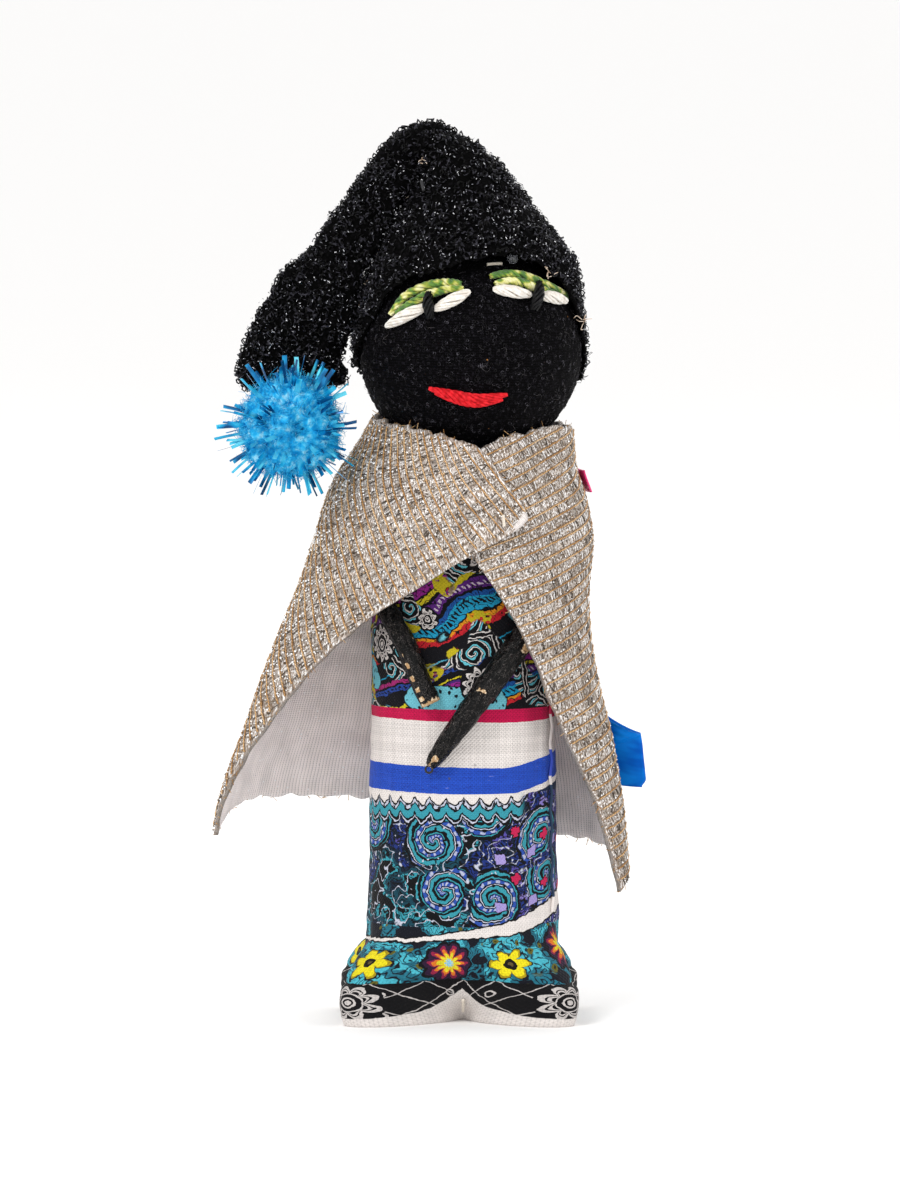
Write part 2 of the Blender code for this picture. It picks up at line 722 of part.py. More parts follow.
def make_face(group, finishes):
    """Embroidery floss laid on the head, and the bead and stitch under the hairline."""
    def floss(name, line, radius, material):
        places = [on_head(across, up, GAP + radius) for across, up in line]
        thread(name, even_path(places, 2 * len(line) + 1), radius, material, group)

    white = finishes["floss_white"]
    for name, line in zip(("left_eye_white_outer", "left_eye_white_inner"), left_white_shares):
        floss(name, line, FLOSS_RADIUS, white)
    for name, line in zip(("right_eye_white_inner", "right_eye_white_outer"), right_white_shares):
        floss(name, line, FLOSS_RADIUS, white)
    for side, lines in (("left", left_lid_shares), ("right", right_lid_shares)):
        floss(side + "_eye_lid_upper", lines[0], LID_RADIUS, finishes["floss_green"])
        floss(side + "_eye_lid_lower", lines[1], LID_RADIUS, finishes["floss_green"])
    floss("left_eye_iris", left_iris_shares, FLOSS_RADIUS, finishes["floss_black"])
    floss("right_eye_iris", right_iris_shares, FLOSS_RADIUS, finishes["floss_black"])
    floss("mouth_upper_strand", mouth_shares[0], LID_RADIUS, finishes["floss_red"])
    floss("mouth_lower_strand", mouth_shares[1], LID_RADIUS, finishes["floss_red"])
    floss("forehead_stitch", forehead_stitch_shares, THREAD_RADIUS, finishes["thread"])

    bm = bmesh.new()
    bmesh.ops.create_uvsphere(bm, u_segments=BEAD_COLUMNS, v_segments=BEAD_ROWS, radius=BEAD_RADIUS)
    bead = add_mesh("forehead_bead", bm, finishes["glass"], group)
    bead.location = on_head(*bead_share, GAP + BEAD_RADIUS)


def make_cap(group, finishes):
    """The looped cap, its tail and the stitches that hold the fold."""
    stations = [row / CAP_ROWS for row in range(CAP_ROWS + 1)]
    looped = finishes["looped"]
    cap = mapped_grid("hat_cap", CAP_COLUMNS, stations, cap_place, looped, group, LOOPED_YARN)
    cap.modifiers["cloth"].offset = 1

    stations = [-1.0] + [row / TAIL_ROWS for row in range(TAIL_ROWS + 1)] + [2.0]
    mapped_grid("hat_tail", TAIL_COLUMNS, stations, tail_place, looped, group)

    lift = LOOPED_YARN + GAP + 2 * THREAD_RADIUS
    stitch = []
    for step, share in enumerate(fold_stitch_shares):
        turn = FOLD_STITCH_TURN + step * FOLD_STITCH_STEP
        stitch.append((cap_point(turn, PEAK_HEIGHT - PEAK_RISE * share, lift), 1.0))
    thread("hat_fold_stitch", stitch, THREAD_RADIUS, finishes["thread"], group, 1)


def ball_centre():
    """Middle of the tinsel ball."""
    return HEAD_CENTRE + Vector((-BALL_LEFT, -BALL_FORWARD, -BALL_DROP))


def make_ball(group, finishes):
    """The fluffy ball, its flat tinsel strands, and the thread that it hangs by."""
    centre = ball_centre()
    bm = bmesh.new()
    bmesh.ops.create_icosphere(bm, subdivisions=BALL_DIVISION_COUNT, radius=BALL_RADIUS)
    ball = add_mesh("pompom_core", bm, finishes["fluff"], group)
    ball.location = centre

    # The strands stand on a thin slice of backing round the ball, which is open where the thread
    # comes in; none stands towards the tail or the head, where they lie pressed flat
    tail_end = tail_place(hanger_turn_share, 1.0)
    clear_way = (tail_end - centre).normalized()
    to_head = Vector(head_way_shares).normalized()
    bm = bmesh.new()
    inside = BALL_RADIUS + GAP
    for radius in (inside, inside + TINSEL_BACKING):
        bmesh.ops.create_icosphere(bm, subdivisions=BALL_DIVISION_COUNT, radius=radius)
    opening = []
    for face in bm.faces:
        if face.calc_center_median().normalized().dot(clear_way) > opening_share:
            opening.append(face)
    bmesh.ops.delete(bm, geom=opening, context="FACES")
    rims = [edge for edge in bm.edges if edge.is_boundary]
    middle_radius = inside + TINSEL_BACKING / 2
    inner = [face for face in bm.faces if face.verts[0].co.length < middle_radius]
    outer = [face for face in bm.faces if face.verts[0].co.length > middle_radius]
    bmesh.ops.reverse_faces(bm, faces=inner)
    bmesh.ops.bridge_loops(bm, edges=rims)
    rooted = []
    for index, face in enumerate(outer):
        way = face.calc_center_median().normalized()
        outside = way.dot(clear_way) < tail_side_share and way.dot(to_head) < head_side_share
        if index % 2 == 0 and outside:
            rooted.append(face)
    side = rooted[0].edges[0].calc_length()
    margin = (side - TINSEL_WIDTH) / (2 * math.sqrt(3))
    bmesh.ops.inset_individual(bm, faces=rooted, thickness=margin)
    strands = bmesh.ops.extrude_discrete_faces(bm, faces=rooted)["faces"]
    for index, face in enumerate(strands):
        root = face.calc_center_median()
        even_share, swing_share = strand_shares
        reach = TINSEL_REACH * (even_share + swing_share * math.cos(2 * index)) - root.length
        bmesh.ops.translate(bm, verts=face.verts, vec=root.normalized() * reach)
    tinsel = add_mesh("pompom_tinsel", bm, finishes["tinsel"], group)
    tinsel.location = centre
    tinsel.data.shade_flat()

    top = tail_end + clear_way * (-GAP - THREAD_RADIUS)
    foot = centre + clear_way * (BALL_RADIUS + GAP + THREAD_RADIUS)
    middle = (top + foot) / 2
    hanger = [(top, 1.0), (middle, 1.0), (foot, 1.0)]
    thread("pompom_thread", hanger, THREAD_RADIUS, finishes["thread"], group, 1)


def make_cape(group, finishes):
    """The wrapped cape with its stitches, ribbon loop and ribbon tab."""
    stations = [row / CAPE_ROWS for row in range(CAPE_ROWS + 1)]
    metallic = finishes["metallic"]
    mapped_grid("cape", CAPE_COLUMNS, stations, cape_place, metallic, group, CAPE_CLOTH)

    # A stitch near the flap's corner holds the crossing shut
    lift = GAP + 2 * THREAD_RADIUS
    tack_height = COLLAR_TOP - FLAP_DROP
    tack_turn = math.pi * tack_turn_share
    tack = []
    for height in (tack_height + STITCH_LENGTH / 2, tack_height - STITCH_LENGTH / 2):
        tack.append((cape_point(tack_turn, height, lift), 1.0))
    thread("cape_tack_stitch", tack, THREAD_RADIUS, finishes["thread"], group, 1)

    # The ribbon: a flat loop along the back of the right wing, which reaches out past its side
    stand = 3 * GAP + RIBBON_CLOTH
    ribbon_height = COLLAR_TOP - RIBBON_DROP
    ribbon_turns = [-share * math.pi for share in ribbon_turn_shares]

    def loop_at(height):
        inner = [cape_point(turn, height, stand) for turn in ribbon_turns]
        outer = [cape_point(turn, height, stand + RIBBON_SPREAD) for turn in ribbon_turns]
        bend = Vector((RIBBON_REACH, inner[-1].y - RIBBON_WIDTH / 8, height))
        bend_out = bend + Vector((-RIBBON_CLOTH, 3 * RIBBON_CLOTH, 0))
        return even_path(inner + [bend, bend_out] + list(reversed(outer)), RIBBON_COLUMNS + 1)

    def place_ribbon(across, station):
        out_share = 1 - abs(2 * across - 1)
        half = RIBBON_WIDTH / 2 * (1 - (1 - ribbon_fold_share) * out_share ** 3)
        height = ribbon_height + station * half - RIBBON_WIDTH / 5 * out_share
        return loop_at(height)[round(across * RIBBON_COLUMNS)][0]

    satin = finishes["satin"]
    ribbon = mapped_grid("ribbon_loop", RIBBON_COLUMNS, ribbon_row_shares, place_ribbon, satin, group)
    thickness = ribbon.modifiers.new("cloth", "SOLIDIFY")
    thickness.thickness = RIBBON_CLOTH
    thickness.offset = 0
    turn = ribbon_turns[0] + math.radians(3)
    inward = cape_point(turn, ribbon_height, GAP + THREAD_RADIUS)
    outward = cape_point(turn, ribbon_height, stand + RIBBON_SPREAD)
    stitch = [(inward, 1.0), (outward, 1.0)]
    thread("ribbon_stitch", stitch, THREAD_RADIUS, finishes["thread"], group, 1)

    # The tab: a short folded strip that stands out past the cape's right side
    def place_tab(across, station):
        first, last = tab_turn_shares
        turn = -math.pi * (first + (last - first) * across)
        stand_off = 2 * GAP + RIBBON_CLOTH + TAB_STAND * across
        return cape_point(turn, COLLAR_TOP - TAB_DROP - TAB_WIDTH * (0.5 - station), stand_off)

    tab = mapped_grid("pink_tab", TAB_COLUMNS, [0.0, 0.5, 1.0], place_tab, finishes["pink"], group)
    thickness = tab.modifiers.new("cloth", "SOLIDIFY")
    thickness.thickness = RIBBON_CLOTH
    thickness.offset = 0


def arm_path(rows, radius, count):
    """An arm's points: it follows the body's tube, its own radius and a gap off the cloth."""
    table = [(index / (len(rows) - 1), *row) for index, row in enumerate(rows)]
    path = []
    for step in range(count):
        turn, up, width = read_row(table, step / (count - 1))
        lift = GAP * 2 + radius * width
        path.append((off_body(turn * 2 * math.pi, up * BODY_HEIGHT, lift), width))
    return path


def make_arms(group, finishes):
    """Two rolled leather arms, the threads at their shoulders and the ring at the right one's end."""
    left = arm_path(left_arm_shares, LEFT_ARM_RADIUS, LEFT_ARM_COUNT)
    right = arm_path(right_arm_shares, RIGHT_ARM_RADIUS, RIGHT_ARM_COUNT)
    thread("left_arm", left, LEFT_ARM_RADIUS, finishes["leather"], group, 3)
    thread("right_arm", right, RIGHT_ARM_RADIUS, finishes["leather"], group, 3)

    end, before = right[-1][0], right[-2][0]
    run = (end - before).normalized()
    circle = []
    for step in range(TURN_COUNT):
        angle = step / TURN_COUNT * 2 * math.pi
        circle.append((Vector((math.cos(angle), 0, math.sin(angle))) * ARM_RING_RADIUS, 1.0))
    ring = thread("right_arm_ring", circle, ARM_RING_THREAD, finishes["leather"], group, 1, True)
    ring.location = end + run * (GAP + ARM_RING_THREAD + ARM_RING_RADIUS)

    # A thread goes over each arm's root, from the body's front to its back
    for name, rows, radius, path, side in (
        ("left_shoulder_thread", left_arm_shares, LEFT_ARM_RADIUS, left, -1),
        ("right_shoulder_thread", right_arm_shares, RIGHT_ARM_RADIUS, right, 1),
    ):
        root = path[0][0]
        clear = radius + GAP * 2 + THREAD_RADIUS
        arch = []
        for step in range(7):
            angle = math.radians(-90 + 30 * step)
            out = Vector((side * math.cos(angle), math.sin(angle), 0))
            arch.append((root + out * clear, 1.0))
        thread(name, arch, THREAD_RADIUS, finishes["thread"], group, 1)


def main():
    """Build the doll."""
    clear_scene()
    doll = collection("cloth_doll")
    finishes = {
        "cotton": finish_of("printed_cotton", (0.10, 0.28, 0.42), 0.85),
        "stuffing": finish_of("stuffing", (0.90, 0.89, 0.85), 0.95),
        "thread": finish_of("thread", (0.80, 0.77, 0.68), 0.80),
        "knit": finish_of("black_knit", (0.010, 0.010, 0.012), 0.90),
        "looped": finish_of("looped_yarn", (0.012, 0.012, 0.013), 0.60),
        "fluff": finish_of("fluff", (0.10, 0.52, 0.86), 0.95),
        "tinsel": finish_of("tinsel", (0.02, 0.22, 0.50), 0.25, 0.9),
        "metallic": finish_of("metallic_cloth", (0.62, 0.57, 0.48), 0.45, 0.5),
        "satin": finish_of("blue_satin", (0.01, 0.28, 0.80), 0.35),
        "pink": finish_of("pink_ribbon", (0.75, 0.05, 0.22), 0.45),
        "leather": finish_of("black_leather", (0.020, 0.018, 0.016), 0.45),
        "floss_white": finish_of("floss_white", (0.85, 0.84, 0.80), 0.60),
        "floss_green": finish_of("floss_green", (0.30, 0.36, 0.08), 0.60),
        "floss_black": finish_of("floss_black", (0.008, 0.008, 0.009), 0.60),
        "floss_red": finish_of("floss_red", (0.70, 0.01, 0.02), 0.55),
        "glass": finish_of("clear_bead", (0.75, 0.76, 0.78), 0.15),
    }
    make_body(doll, finishes)
    make_head(doll, finishes)
    make_face(doll, finishes)
    make_cap(doll, finishes)
    make_ball(doll, finishes)
    make_cape(doll, finishes)
    make_arms(doll, finishes)


main()
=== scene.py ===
"""Looks of the stuffed cloth doll: every cloth, yarn, floss, tinsel and leather surface.

Metres, in the CAD model's frame: +Z up, the doll faces -Y. The tables and sizes of the main forms
are those of the CAD source.
"""

import math

import bpy
import numpy as np
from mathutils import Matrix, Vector


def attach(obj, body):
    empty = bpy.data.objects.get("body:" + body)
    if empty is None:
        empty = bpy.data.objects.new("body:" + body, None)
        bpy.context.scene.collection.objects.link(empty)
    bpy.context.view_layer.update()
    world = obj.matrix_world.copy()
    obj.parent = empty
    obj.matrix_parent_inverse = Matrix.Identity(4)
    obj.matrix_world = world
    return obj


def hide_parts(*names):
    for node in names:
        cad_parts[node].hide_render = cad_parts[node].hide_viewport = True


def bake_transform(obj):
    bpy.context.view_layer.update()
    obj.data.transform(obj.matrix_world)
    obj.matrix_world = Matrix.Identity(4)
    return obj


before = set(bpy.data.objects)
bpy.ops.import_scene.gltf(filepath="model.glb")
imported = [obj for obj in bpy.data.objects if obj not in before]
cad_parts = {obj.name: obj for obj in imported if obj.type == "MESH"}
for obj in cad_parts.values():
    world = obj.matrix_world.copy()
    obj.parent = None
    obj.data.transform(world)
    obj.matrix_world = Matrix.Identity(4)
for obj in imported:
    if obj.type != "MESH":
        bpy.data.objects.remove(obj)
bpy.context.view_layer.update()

MM = 0.001
TAU = 2 * math.pi
RIPPLE_WAVES = 7

# Sizes of the forms
COTTON = 0.6 * MM
LOOPED_YARN = 1.8 * MM
CAPE_CLOTH = 1.2 * MM
BODY_HALF_WIDTH = 21.5 * MM
BODY_HALF_DEPTH = 19.0 * MM
BODY_HEIGHT = 123.5 * MM
SHOULDER_DROP = 14.0 * MM
SLEEVE_HEIGHT = 5.0 * MM
NECK_RADIUS = 8.5 * MM
FIN_REACH = 26.2 * MM
FIN_HEIGHT = 25.0 * MM
FIN_SHARPNESS = 2.6
HEAD_RADIUS = 25.5 * MM
HEAD_OFFSET = 1.8 * MM
NECK_SHOW = 1.6 * MM
NECK_DEPTH = 9.0 * MM
PEAK_RISE = 52.3 * MM
PEAK_LEAN = 9.4 * MM
CAP_EASE = 0.6 * MM
TAIL_HALF_THICKNESS = 5.0 * MM
TAIL_HALF_WIDTH = 10.3 * MM
TAIL_REACH = 42.3 * MM
TAIL_FORWARD = 1.0 * MM
TAIL_CLEARANCE = 0.9 * MM
TAIL_SPREAD = 6.0 * MM
TINSEL_REACH = 17.0 * MM
BALL_PLACE = (-41.4 * MM, -14.0 * MM, -17.4 * MM)
COLLAR_DROP = 15.2 * MM
COLLAR_SLACK = 2.4 * MM
CAPE_LEFT_REACH = 57.5 * MM
CAPE_RIGHT_REACH = 38.2 * MM
CAPE_FRONT_DEPTH = 31.0 * MM
CAPE_BACK_DEPTH = 28.0 * MM
CAPE_LEFT_DROP = 97.0 * MM
CAPE_RIGHT_DROP = 109.0 * MM
FLAP_DROP = 22.5 * MM
CAPE_TUCK = 2.4 * MM
CROSSING_DROP = 27.0 * MM
CAPE_EASE = 12.0 * MM
FOLD_DEPTH = 1.3 * MM
FOLD_COUNT = 7
GAP = 0.3 * MM
LEFT_ARM_RADIUS = 2.45 * MM
RIGHT_ARM_RADIUS = 3.1 * MM
RIBBON_WIDTH = 16.5 * MM
RIBBON_REACH = 42.3 * MM
RIBBON_DROP = 77.2 * MM
RIBBON_CLOTH = 0.5 * MM
TAB_WIDTH = 5.0 * MM
TAB_DROP = 15.4 * MM
TAB_STAND = 0.5 * MM

SHOULDER_HEIGHT = BODY_HEIGHT - SHOULDER_DROP
SLEEVE_TOP = BODY_HEIGHT + SLEEVE_HEIGHT
HEAD_HEIGHT = SLEEVE_TOP + math.sqrt(HEAD_RADIUS ** 2 - NECK_RADIUS ** 2) + NECK_SHOW
COLLAR_TOP = HEAD_HEIGHT - COLLAR_DROP
HEAD_CENTRE = np.array([HEAD_OFFSET, 0.0, HEAD_HEIGHT])

fin_shares = (
    (0.00, 0.97, 0.46), (0.10, 1.02, 0.60), (0.24, 1.02, 0.84), (0.40, 0.92, 0.97),
    (0.58, 0.55, 1.01), (0.78, 0.20, 1.02), (1.00, 0.00, 1.02),
)
tube_shares = ((0.0, 1.02), (0.25, 1.00), (0.6, 0.99), (0.85, 0.985), (1.0, 0.97))
shoulder_shares = ((0.0, 0.0), (0.35, 0.10), (0.62, 0.32), (0.82, 0.60), (1.0, 1.0))
cap_shares = (
    (0.00, 1.000, 0.00), (0.20, 0.955, 0.00), (0.39, 0.850, 0.00), (0.61, 0.590, 0.02),
    (0.77, 0.375, 0.18), (0.93, 0.220, 0.57), (0.98, 0.125, 0.88), (1.00, 0.000, 1.00),
)
cap_edge_shares = (
    (0.00, 0.83), (0.06, 0.74), (0.11, 0.65), (0.15, 0.47), (0.19, 0.16), (0.25, -0.12),
    (0.36, -0.34), (0.50, -0.46), (0.64, -0.36), (0.75, -0.20), (0.79, 0.22), (0.82, 0.52),
    (0.87, 0.76), (0.93, 0.88), (1.00, 0.83),
)
tail_shares = (
    (0.00, 0.272, 0.887, 0.31, 0.60), (0.12, 0.385, 0.782, 0.45, 0.85),
    (0.28, 0.527, 0.616, 0.49, 1.00), (0.46, 0.676, 0.444, 0.56, 1.00),
    (0.58, 0.766, 0.314, 0.78, 1.00), (0.72, 0.868, 0.174, 0.95, 1.00),
    (0.84, 0.950, 0.040, 1.00, 1.00), (0.95, 0.988, -0.088, 0.95, 0.90),
    (1.00, 1.000, -0.145, 0.85, 0.75),
)
cape_shares = (
    (0.00, 0.00, 0.00, 0.00, 0.00), (0.06, 0.10, 0.02, 0.28, 0.10),
    (0.12, 0.22, 0.08, 0.62, 0.24), (0.17, 0.29, 0.22, 0.84, 0.36),
    (0.26, 0.37, 0.35, 1.00, 0.52), (0.37, 0.48, 0.28, 1.00, 0.66),
    (0.47, 0.60, 0.32, 0.92, 0.76), (0.57, 0.71, 0.46, 0.66, 0.84),
    (0.67, 0.81, 0.66, 0.26, 0.90), (0.75, 0.90, 0.78, 0.00, 0.94),
    (0.85, 0.98, 0.90, -0.30, 0.97), (1.00, 1.03, 1.00, -0.50, 1.00),
)
left_edge_shares = (
    (0.00, 0.51), (0.16, 0.57), (0.26, 0.60), (0.36, 0.64), (0.46, 0.683), (0.54, 0.72),
    (0.63, 0.774), (0.71, 0.829), (0.78, 0.898), (0.88, 1.00), (1.00, 1.17), (1.12, 1.20),
)
right_edge_shares = (
    (0.00, 0.605), (0.10, 0.638), (0.20, 0.668), (0.27, 0.69), (0.36, 0.73), (0.44, 0.757),
    (0.52, 0.783), (0.60, 0.803), (0.68, 0.836), (0.77, 0.885), (0.86, 0.945), (0.94, 1.00),
    (1.02, 1.08),
)
collar_left_shares = (
    (0.00, 0.00), (0.42, 0.02), (0.70, 0.10), (0.80, 0.18), (0.87, 0.28), (0.93, 0.60),
    (1.00, 1.00),
)
collar_right_shares = (
    (0.00, 0.00), (0.46, 0.14), (0.58, 0.09), (0.72, 0.14), (0.86, 0.27), (0.93, 0.55),
    (1.00, 1.12),
)
hem_left_shares = ((0.00, 0.955), (0.38, 0.925), (0.70, 0.93), (0.88, 0.965), (1.00, 1.00))
hem_right_shares = (
    (0.00, 0.85), (0.31, 0.905), (0.45, 0.915), (0.60, 0.93), (0.80, 0.965), (1.00, 1.00),
)
left_arm_shares = (
    (0.515, 0.925, 0.80), (0.545, 0.875, 0.95), (0.585, 0.825, 1.00), (0.627, 0.765, 1.00),
    (0.662, 0.700, 1.00), (0.684, 0.640, 1.00), (0.700, 0.600, 0.92),
)
right_arm_shares = (
    (0.985, 0.900, 0.75), (0.945, 0.850, 0.95), (0.892, 0.785, 1.00), (0.838, 0.710, 1.00),
    (0.790, 0.635, 0.98), (0.745, 0.560, 0.86), (0.712, 0.505, 0.66), (0.700, 0.485, 0.45),
)


def read_row(rows, share):
    """The columns of a table at a share along it, on a smooth curve through its rows."""
    share = min(max(share, rows[0][0]), rows[-1][0])
    last = len(rows) - 1
    low = max(index for index in range(last) if rows[index][0] <= share)

    def slope(index, column):
        before, after = rows[max(index - 1, 0)], rows[min(index + 1, last)]
        return (after[column] - before[column]) / (after[0] - before[0])

    start, end = rows[low], rows[low + 1]
    step = end[0] - start[0]
    t = (share - start[0]) / step
    return [
        (2 * t ** 3 - 3 * t ** 2 + 1) * start[column]
        + (t ** 3 - 2 * t ** 2 + t) * slope(low, column) * step
        + (3 * t ** 2 - 2 * t ** 3) * end[column]
        + (t ** 3 - t ** 2) * slope(low + 1, column) * step
        for column in range(1, len(start))
    ]


def table_of(rows):
    """A function that reads a table for whole arrays of shares."""
    shares = np.linspace(rows[0][0], rows[-1][0], 500)
    values = np.array([read_row(rows, share) for share in shares])

    def read(at):
        return [np.interp(at, shares, values[:, column]) for column in range(values.shape[1])]

    return read


fins, tube, shoulder = table_of(fin_shares), table_of(tube_shares), table_of(shoulder_shares)
cap_form, cap_edge, tail_form = table_of(cap_shares), table_of(cap_edge_shares), table_of(tail_shares)
cape_form = table_of(cape_shares)
left_edge, right_edge = table_of(left_edge_shares), table_of(right_edge_shares)
collar_left, collar_right = table_of(collar_left_shares), table_of(collar_right_shares)
hem_left, hem_right = table_of(hem_left_shares), table_of(hem_right_shares)


def smooth(low, high, value):
    """Nought below low, one above high, and smooth between."""
    t = np.clip((value - low) / (high - low), 0.0, 1.0)
    return t * t * (3 - 2 * t)


def stack(*parts):
    """Arrays of x, y and z as one array of points."""
    return np.stack(np.broadcast_arrays(*parts), axis=-1)


def unit(ways):
    """Directions made one long."""
    return ways / np.maximum(np.linalg.norm(ways, axis=-1, keepdims=True), 1e-12)


def far_along(path):
    """How far along a path each of its points is."""
    return np.concatenate([[0], np.cumsum(np.linalg.norm(np.diff(path, axis=0), axis=1))])


def ripple(points, scale, seed):
    """Smooth irregular values from about -1 to 1 over points, with waves about scale long."""
    draw = np.random.default_rng(seed)
    total = np.zeros(points.shape[:-1])
    for _ in range(RIPPLE_WAVES):
        way = draw.normal(size=3)
        way *= TAU / (scale * draw.uniform(0.7, 1.5) * np.linalg.norm(way))
        total += np.sin(points @ way + draw.uniform(0, TAU))
    return total / math.sqrt(RIPPLE_WAVES * 1.2)


def body_point(angle, height):
    """Points on the body's cloth, at angles from +X and heights over the floor."""
    reach, low_width = fins(np.clip(height / FIN_HEIGHT, 0, 1))
    (high_width,) = tube((height - FIN_HEIGHT) / (SHOULDER_HEIGHT - FIN_HEIGHT))
    in_fins = height < FIN_HEIGHT
    width = np.where(in_fins, low_width, high_width)
    reach = np.where(in_fins, reach, 0.0)
    (closing,) = shoulder((height - SHOULDER_HEIGHT) / SHOULDER_DROP)
    tip = 1 + reach * (FIN_REACH / (BODY_HALF_WIDTH * math.cos(math.pi / 4)) - 1)
    pinch = np.abs(np.sin(2 * angle)) ** FIN_SHARPNESS
    scale = width + np.maximum(tip - width, 0.0) * pinch
    across = BODY_HALF_WIDTH * scale * np.cos(angle)
    along = BODY_HALF_DEPTH * scale * np.sin(angle)
    neck_across = HEAD_OFFSET + NECK_RADIUS * np.cos(angle)
    neck_along = NECK_RADIUS * np.sin(angle)
    return stack(
        across + (neck_across - across) * closing, along + (neck_along - along) * closing, height
    )


def off_body(angle, height, lift):
    """Points that stand off the body's tube by a distance."""
    outward = stack(np.cos(angle) / BODY_HALF_WIDTH, np.sin(angle) / BODY_HALF_DEPTH, 0 * angle)
    return body_point(angle, height) + unit(outward) * lift


def on_head(across, up, lift):
    """Points in front of the head's ball, at shares of its radius and a distance off it."""
    across, up = np.asarray(across, float), np.asarray(up, float)
    front = np.sqrt(np.maximum(1 - across ** 2 - up ** 2, 0.0))
    return HEAD_CENTRE + stack(across, -front, up) * (HEAD_RADIUS + np.asarray(lift)[..., None])


def cape_point(turn, height, lift=0.0):
    """Points on the cape's outer side, at turns from the middle of the back towards the left."""
    drop = (COLLAR_TOP - height) / CAPE_RIGHT_DROP
    left, right, front, back = cape_form(drop)
    collar = math.sqrt(HEAD_RADIUS ** 2 - COLLAR_DROP ** 2) + GAP + CAPE_CLOTH
    under = smooth(0.58, 0.76, -turn / math.pi)
    near = smooth(COLLAR_TOP - CROSSING_DROP - CAPE_EASE, COLLAR_TOP - CROSSING_DROP, height)
    fold = np.cos(FOLD_COUNT * turn) * np.maximum(np.cos(turn / 2), 0.0) ** 2
    push = lift + FOLD_DEPTH * np.maximum(drop, 0.0) * fold - CAPE_TUCK * under * near
    left_half = collar - HEAD_OFFSET + left * (CAPE_LEFT_REACH - collar + HEAD_OFFSET)
    right_collar = collar + HEAD_OFFSET + COLLAR_SLACK / 2
    right_half = right_collar + right * (CAPE_RIGHT_REACH - right_collar)
    front_collar = collar - COLLAR_SLACK / 2
    front_half = front_collar + front * (CAPE_FRONT_DEPTH - front_collar)
    back_half = collar + back * (CAPE_BACK_DEPTH - collar)
    half_width = np.where(np.sin(turn) > 0, left_half, right_half) + push
    half_depth = np.where(np.cos(turn) > 0, back_half, front_half) + push
    return stack(-half_width * np.sin(turn), half_depth * np.cos(turn), height)


def cape_turn(across, station):
    """Turn and height of the cape's cloth at a share across it and up it."""
    panel = 2 * across - 1
    share = np.abs(panel)
    on_left = panel > 0
    collar = np.where(on_left, collar_left(share)[0], collar_right(share)[0])
    drop = np.where(on_left, CAPE_LEFT_DROP, CAPE_RIGHT_DROP)
    low = COLLAR_TOP - np.where(on_left, hem_left(share)[0], hem_right(share)[0]) * drop
    high = COLLAR_TOP - collar * FLAP_DROP
    height = low + (high - low) * station
    tip = COLLAR_TOP - drop
    up = (height - tip) / (drop - FLAP_DROP)
    end = np.where(on_left, left_edge(up)[0], right_edge(up)[0]) * math.pi
    return panel * end, height


def cap_point(turn, height, lift):
    """Points on the cap's inside, at turns from the front towards the doll's left."""
    radius = HEAD_RADIUS + CAP_EASE
    share, lean = cap_form((height - HEAD_HEIGHT) / (PEAK_RISE - LOOPED_YARN))
    low = np.sqrt(np.maximum(radius ** 2 - (height - HEAD_HEIGHT) ** 2, 0.0))
    across = np.where(height < HEAD_HEIGHT, low, radius * share) + lift
    middle = HEAD_OFFSET - PEAK_LEAN * lean
    return stack(middle - across * np.sin(turn), -across * np.cos(turn), height)


def tail_point(around, along):
    """Points on the folded tail's skin, at angles round it and shares along it."""
    step = 0.01
    left, rise, width, thick = tail_form(along)
    before, after = tail_form(along - step), tail_form(along + step)
    middle = stack(-left * TAIL_REACH, -TAIL_FORWARD, HEAD_HEIGHT + rise * PEAK_RISE)
    run = unit(stack(-(after[0] - before[0]) * TAIL_REACH, 0.0, (after[1] - before[1]) * PEAK_RISE))
    side = stack(run[..., 2], 0.0, -run[..., 0])
    half = TAIL_HALF_WIDTH * width
    inner = middle - side * half[..., None]
    cap_side = cap_point(np.full_like(along, math.pi / 2), inner[..., 2], LOOPED_YARN)[..., 0]
    slack = cap_side - TAIL_CLEARANCE - inner[..., 0]
    spread = np.clip(slack * np.abs(side[..., 0]), 0.0, TAIL_SPREAD) / 2
    middle[..., 0] += np.minimum(slack, 0.0)
    middle = middle - side * spread[..., None]
    half = half + spread
    deep = TAIL_HALF_THICKNESS * thick * np.sin(around)
    return middle + side * (half * np.cos(around))[..., None] + stack(0 * deep, deep, 0 * deep)


def linear(code):
    """The linear colour of a screen colour written as #rrggbb."""
    parts = [int(code[at:at + 2], 16) / 255 for at in (1, 3, 5)]
    return tuple(p / 12.92 if p <= 0.04045 else ((p + 0.055) / 1.055) ** 2.4 for p in parts) + (1.0,)


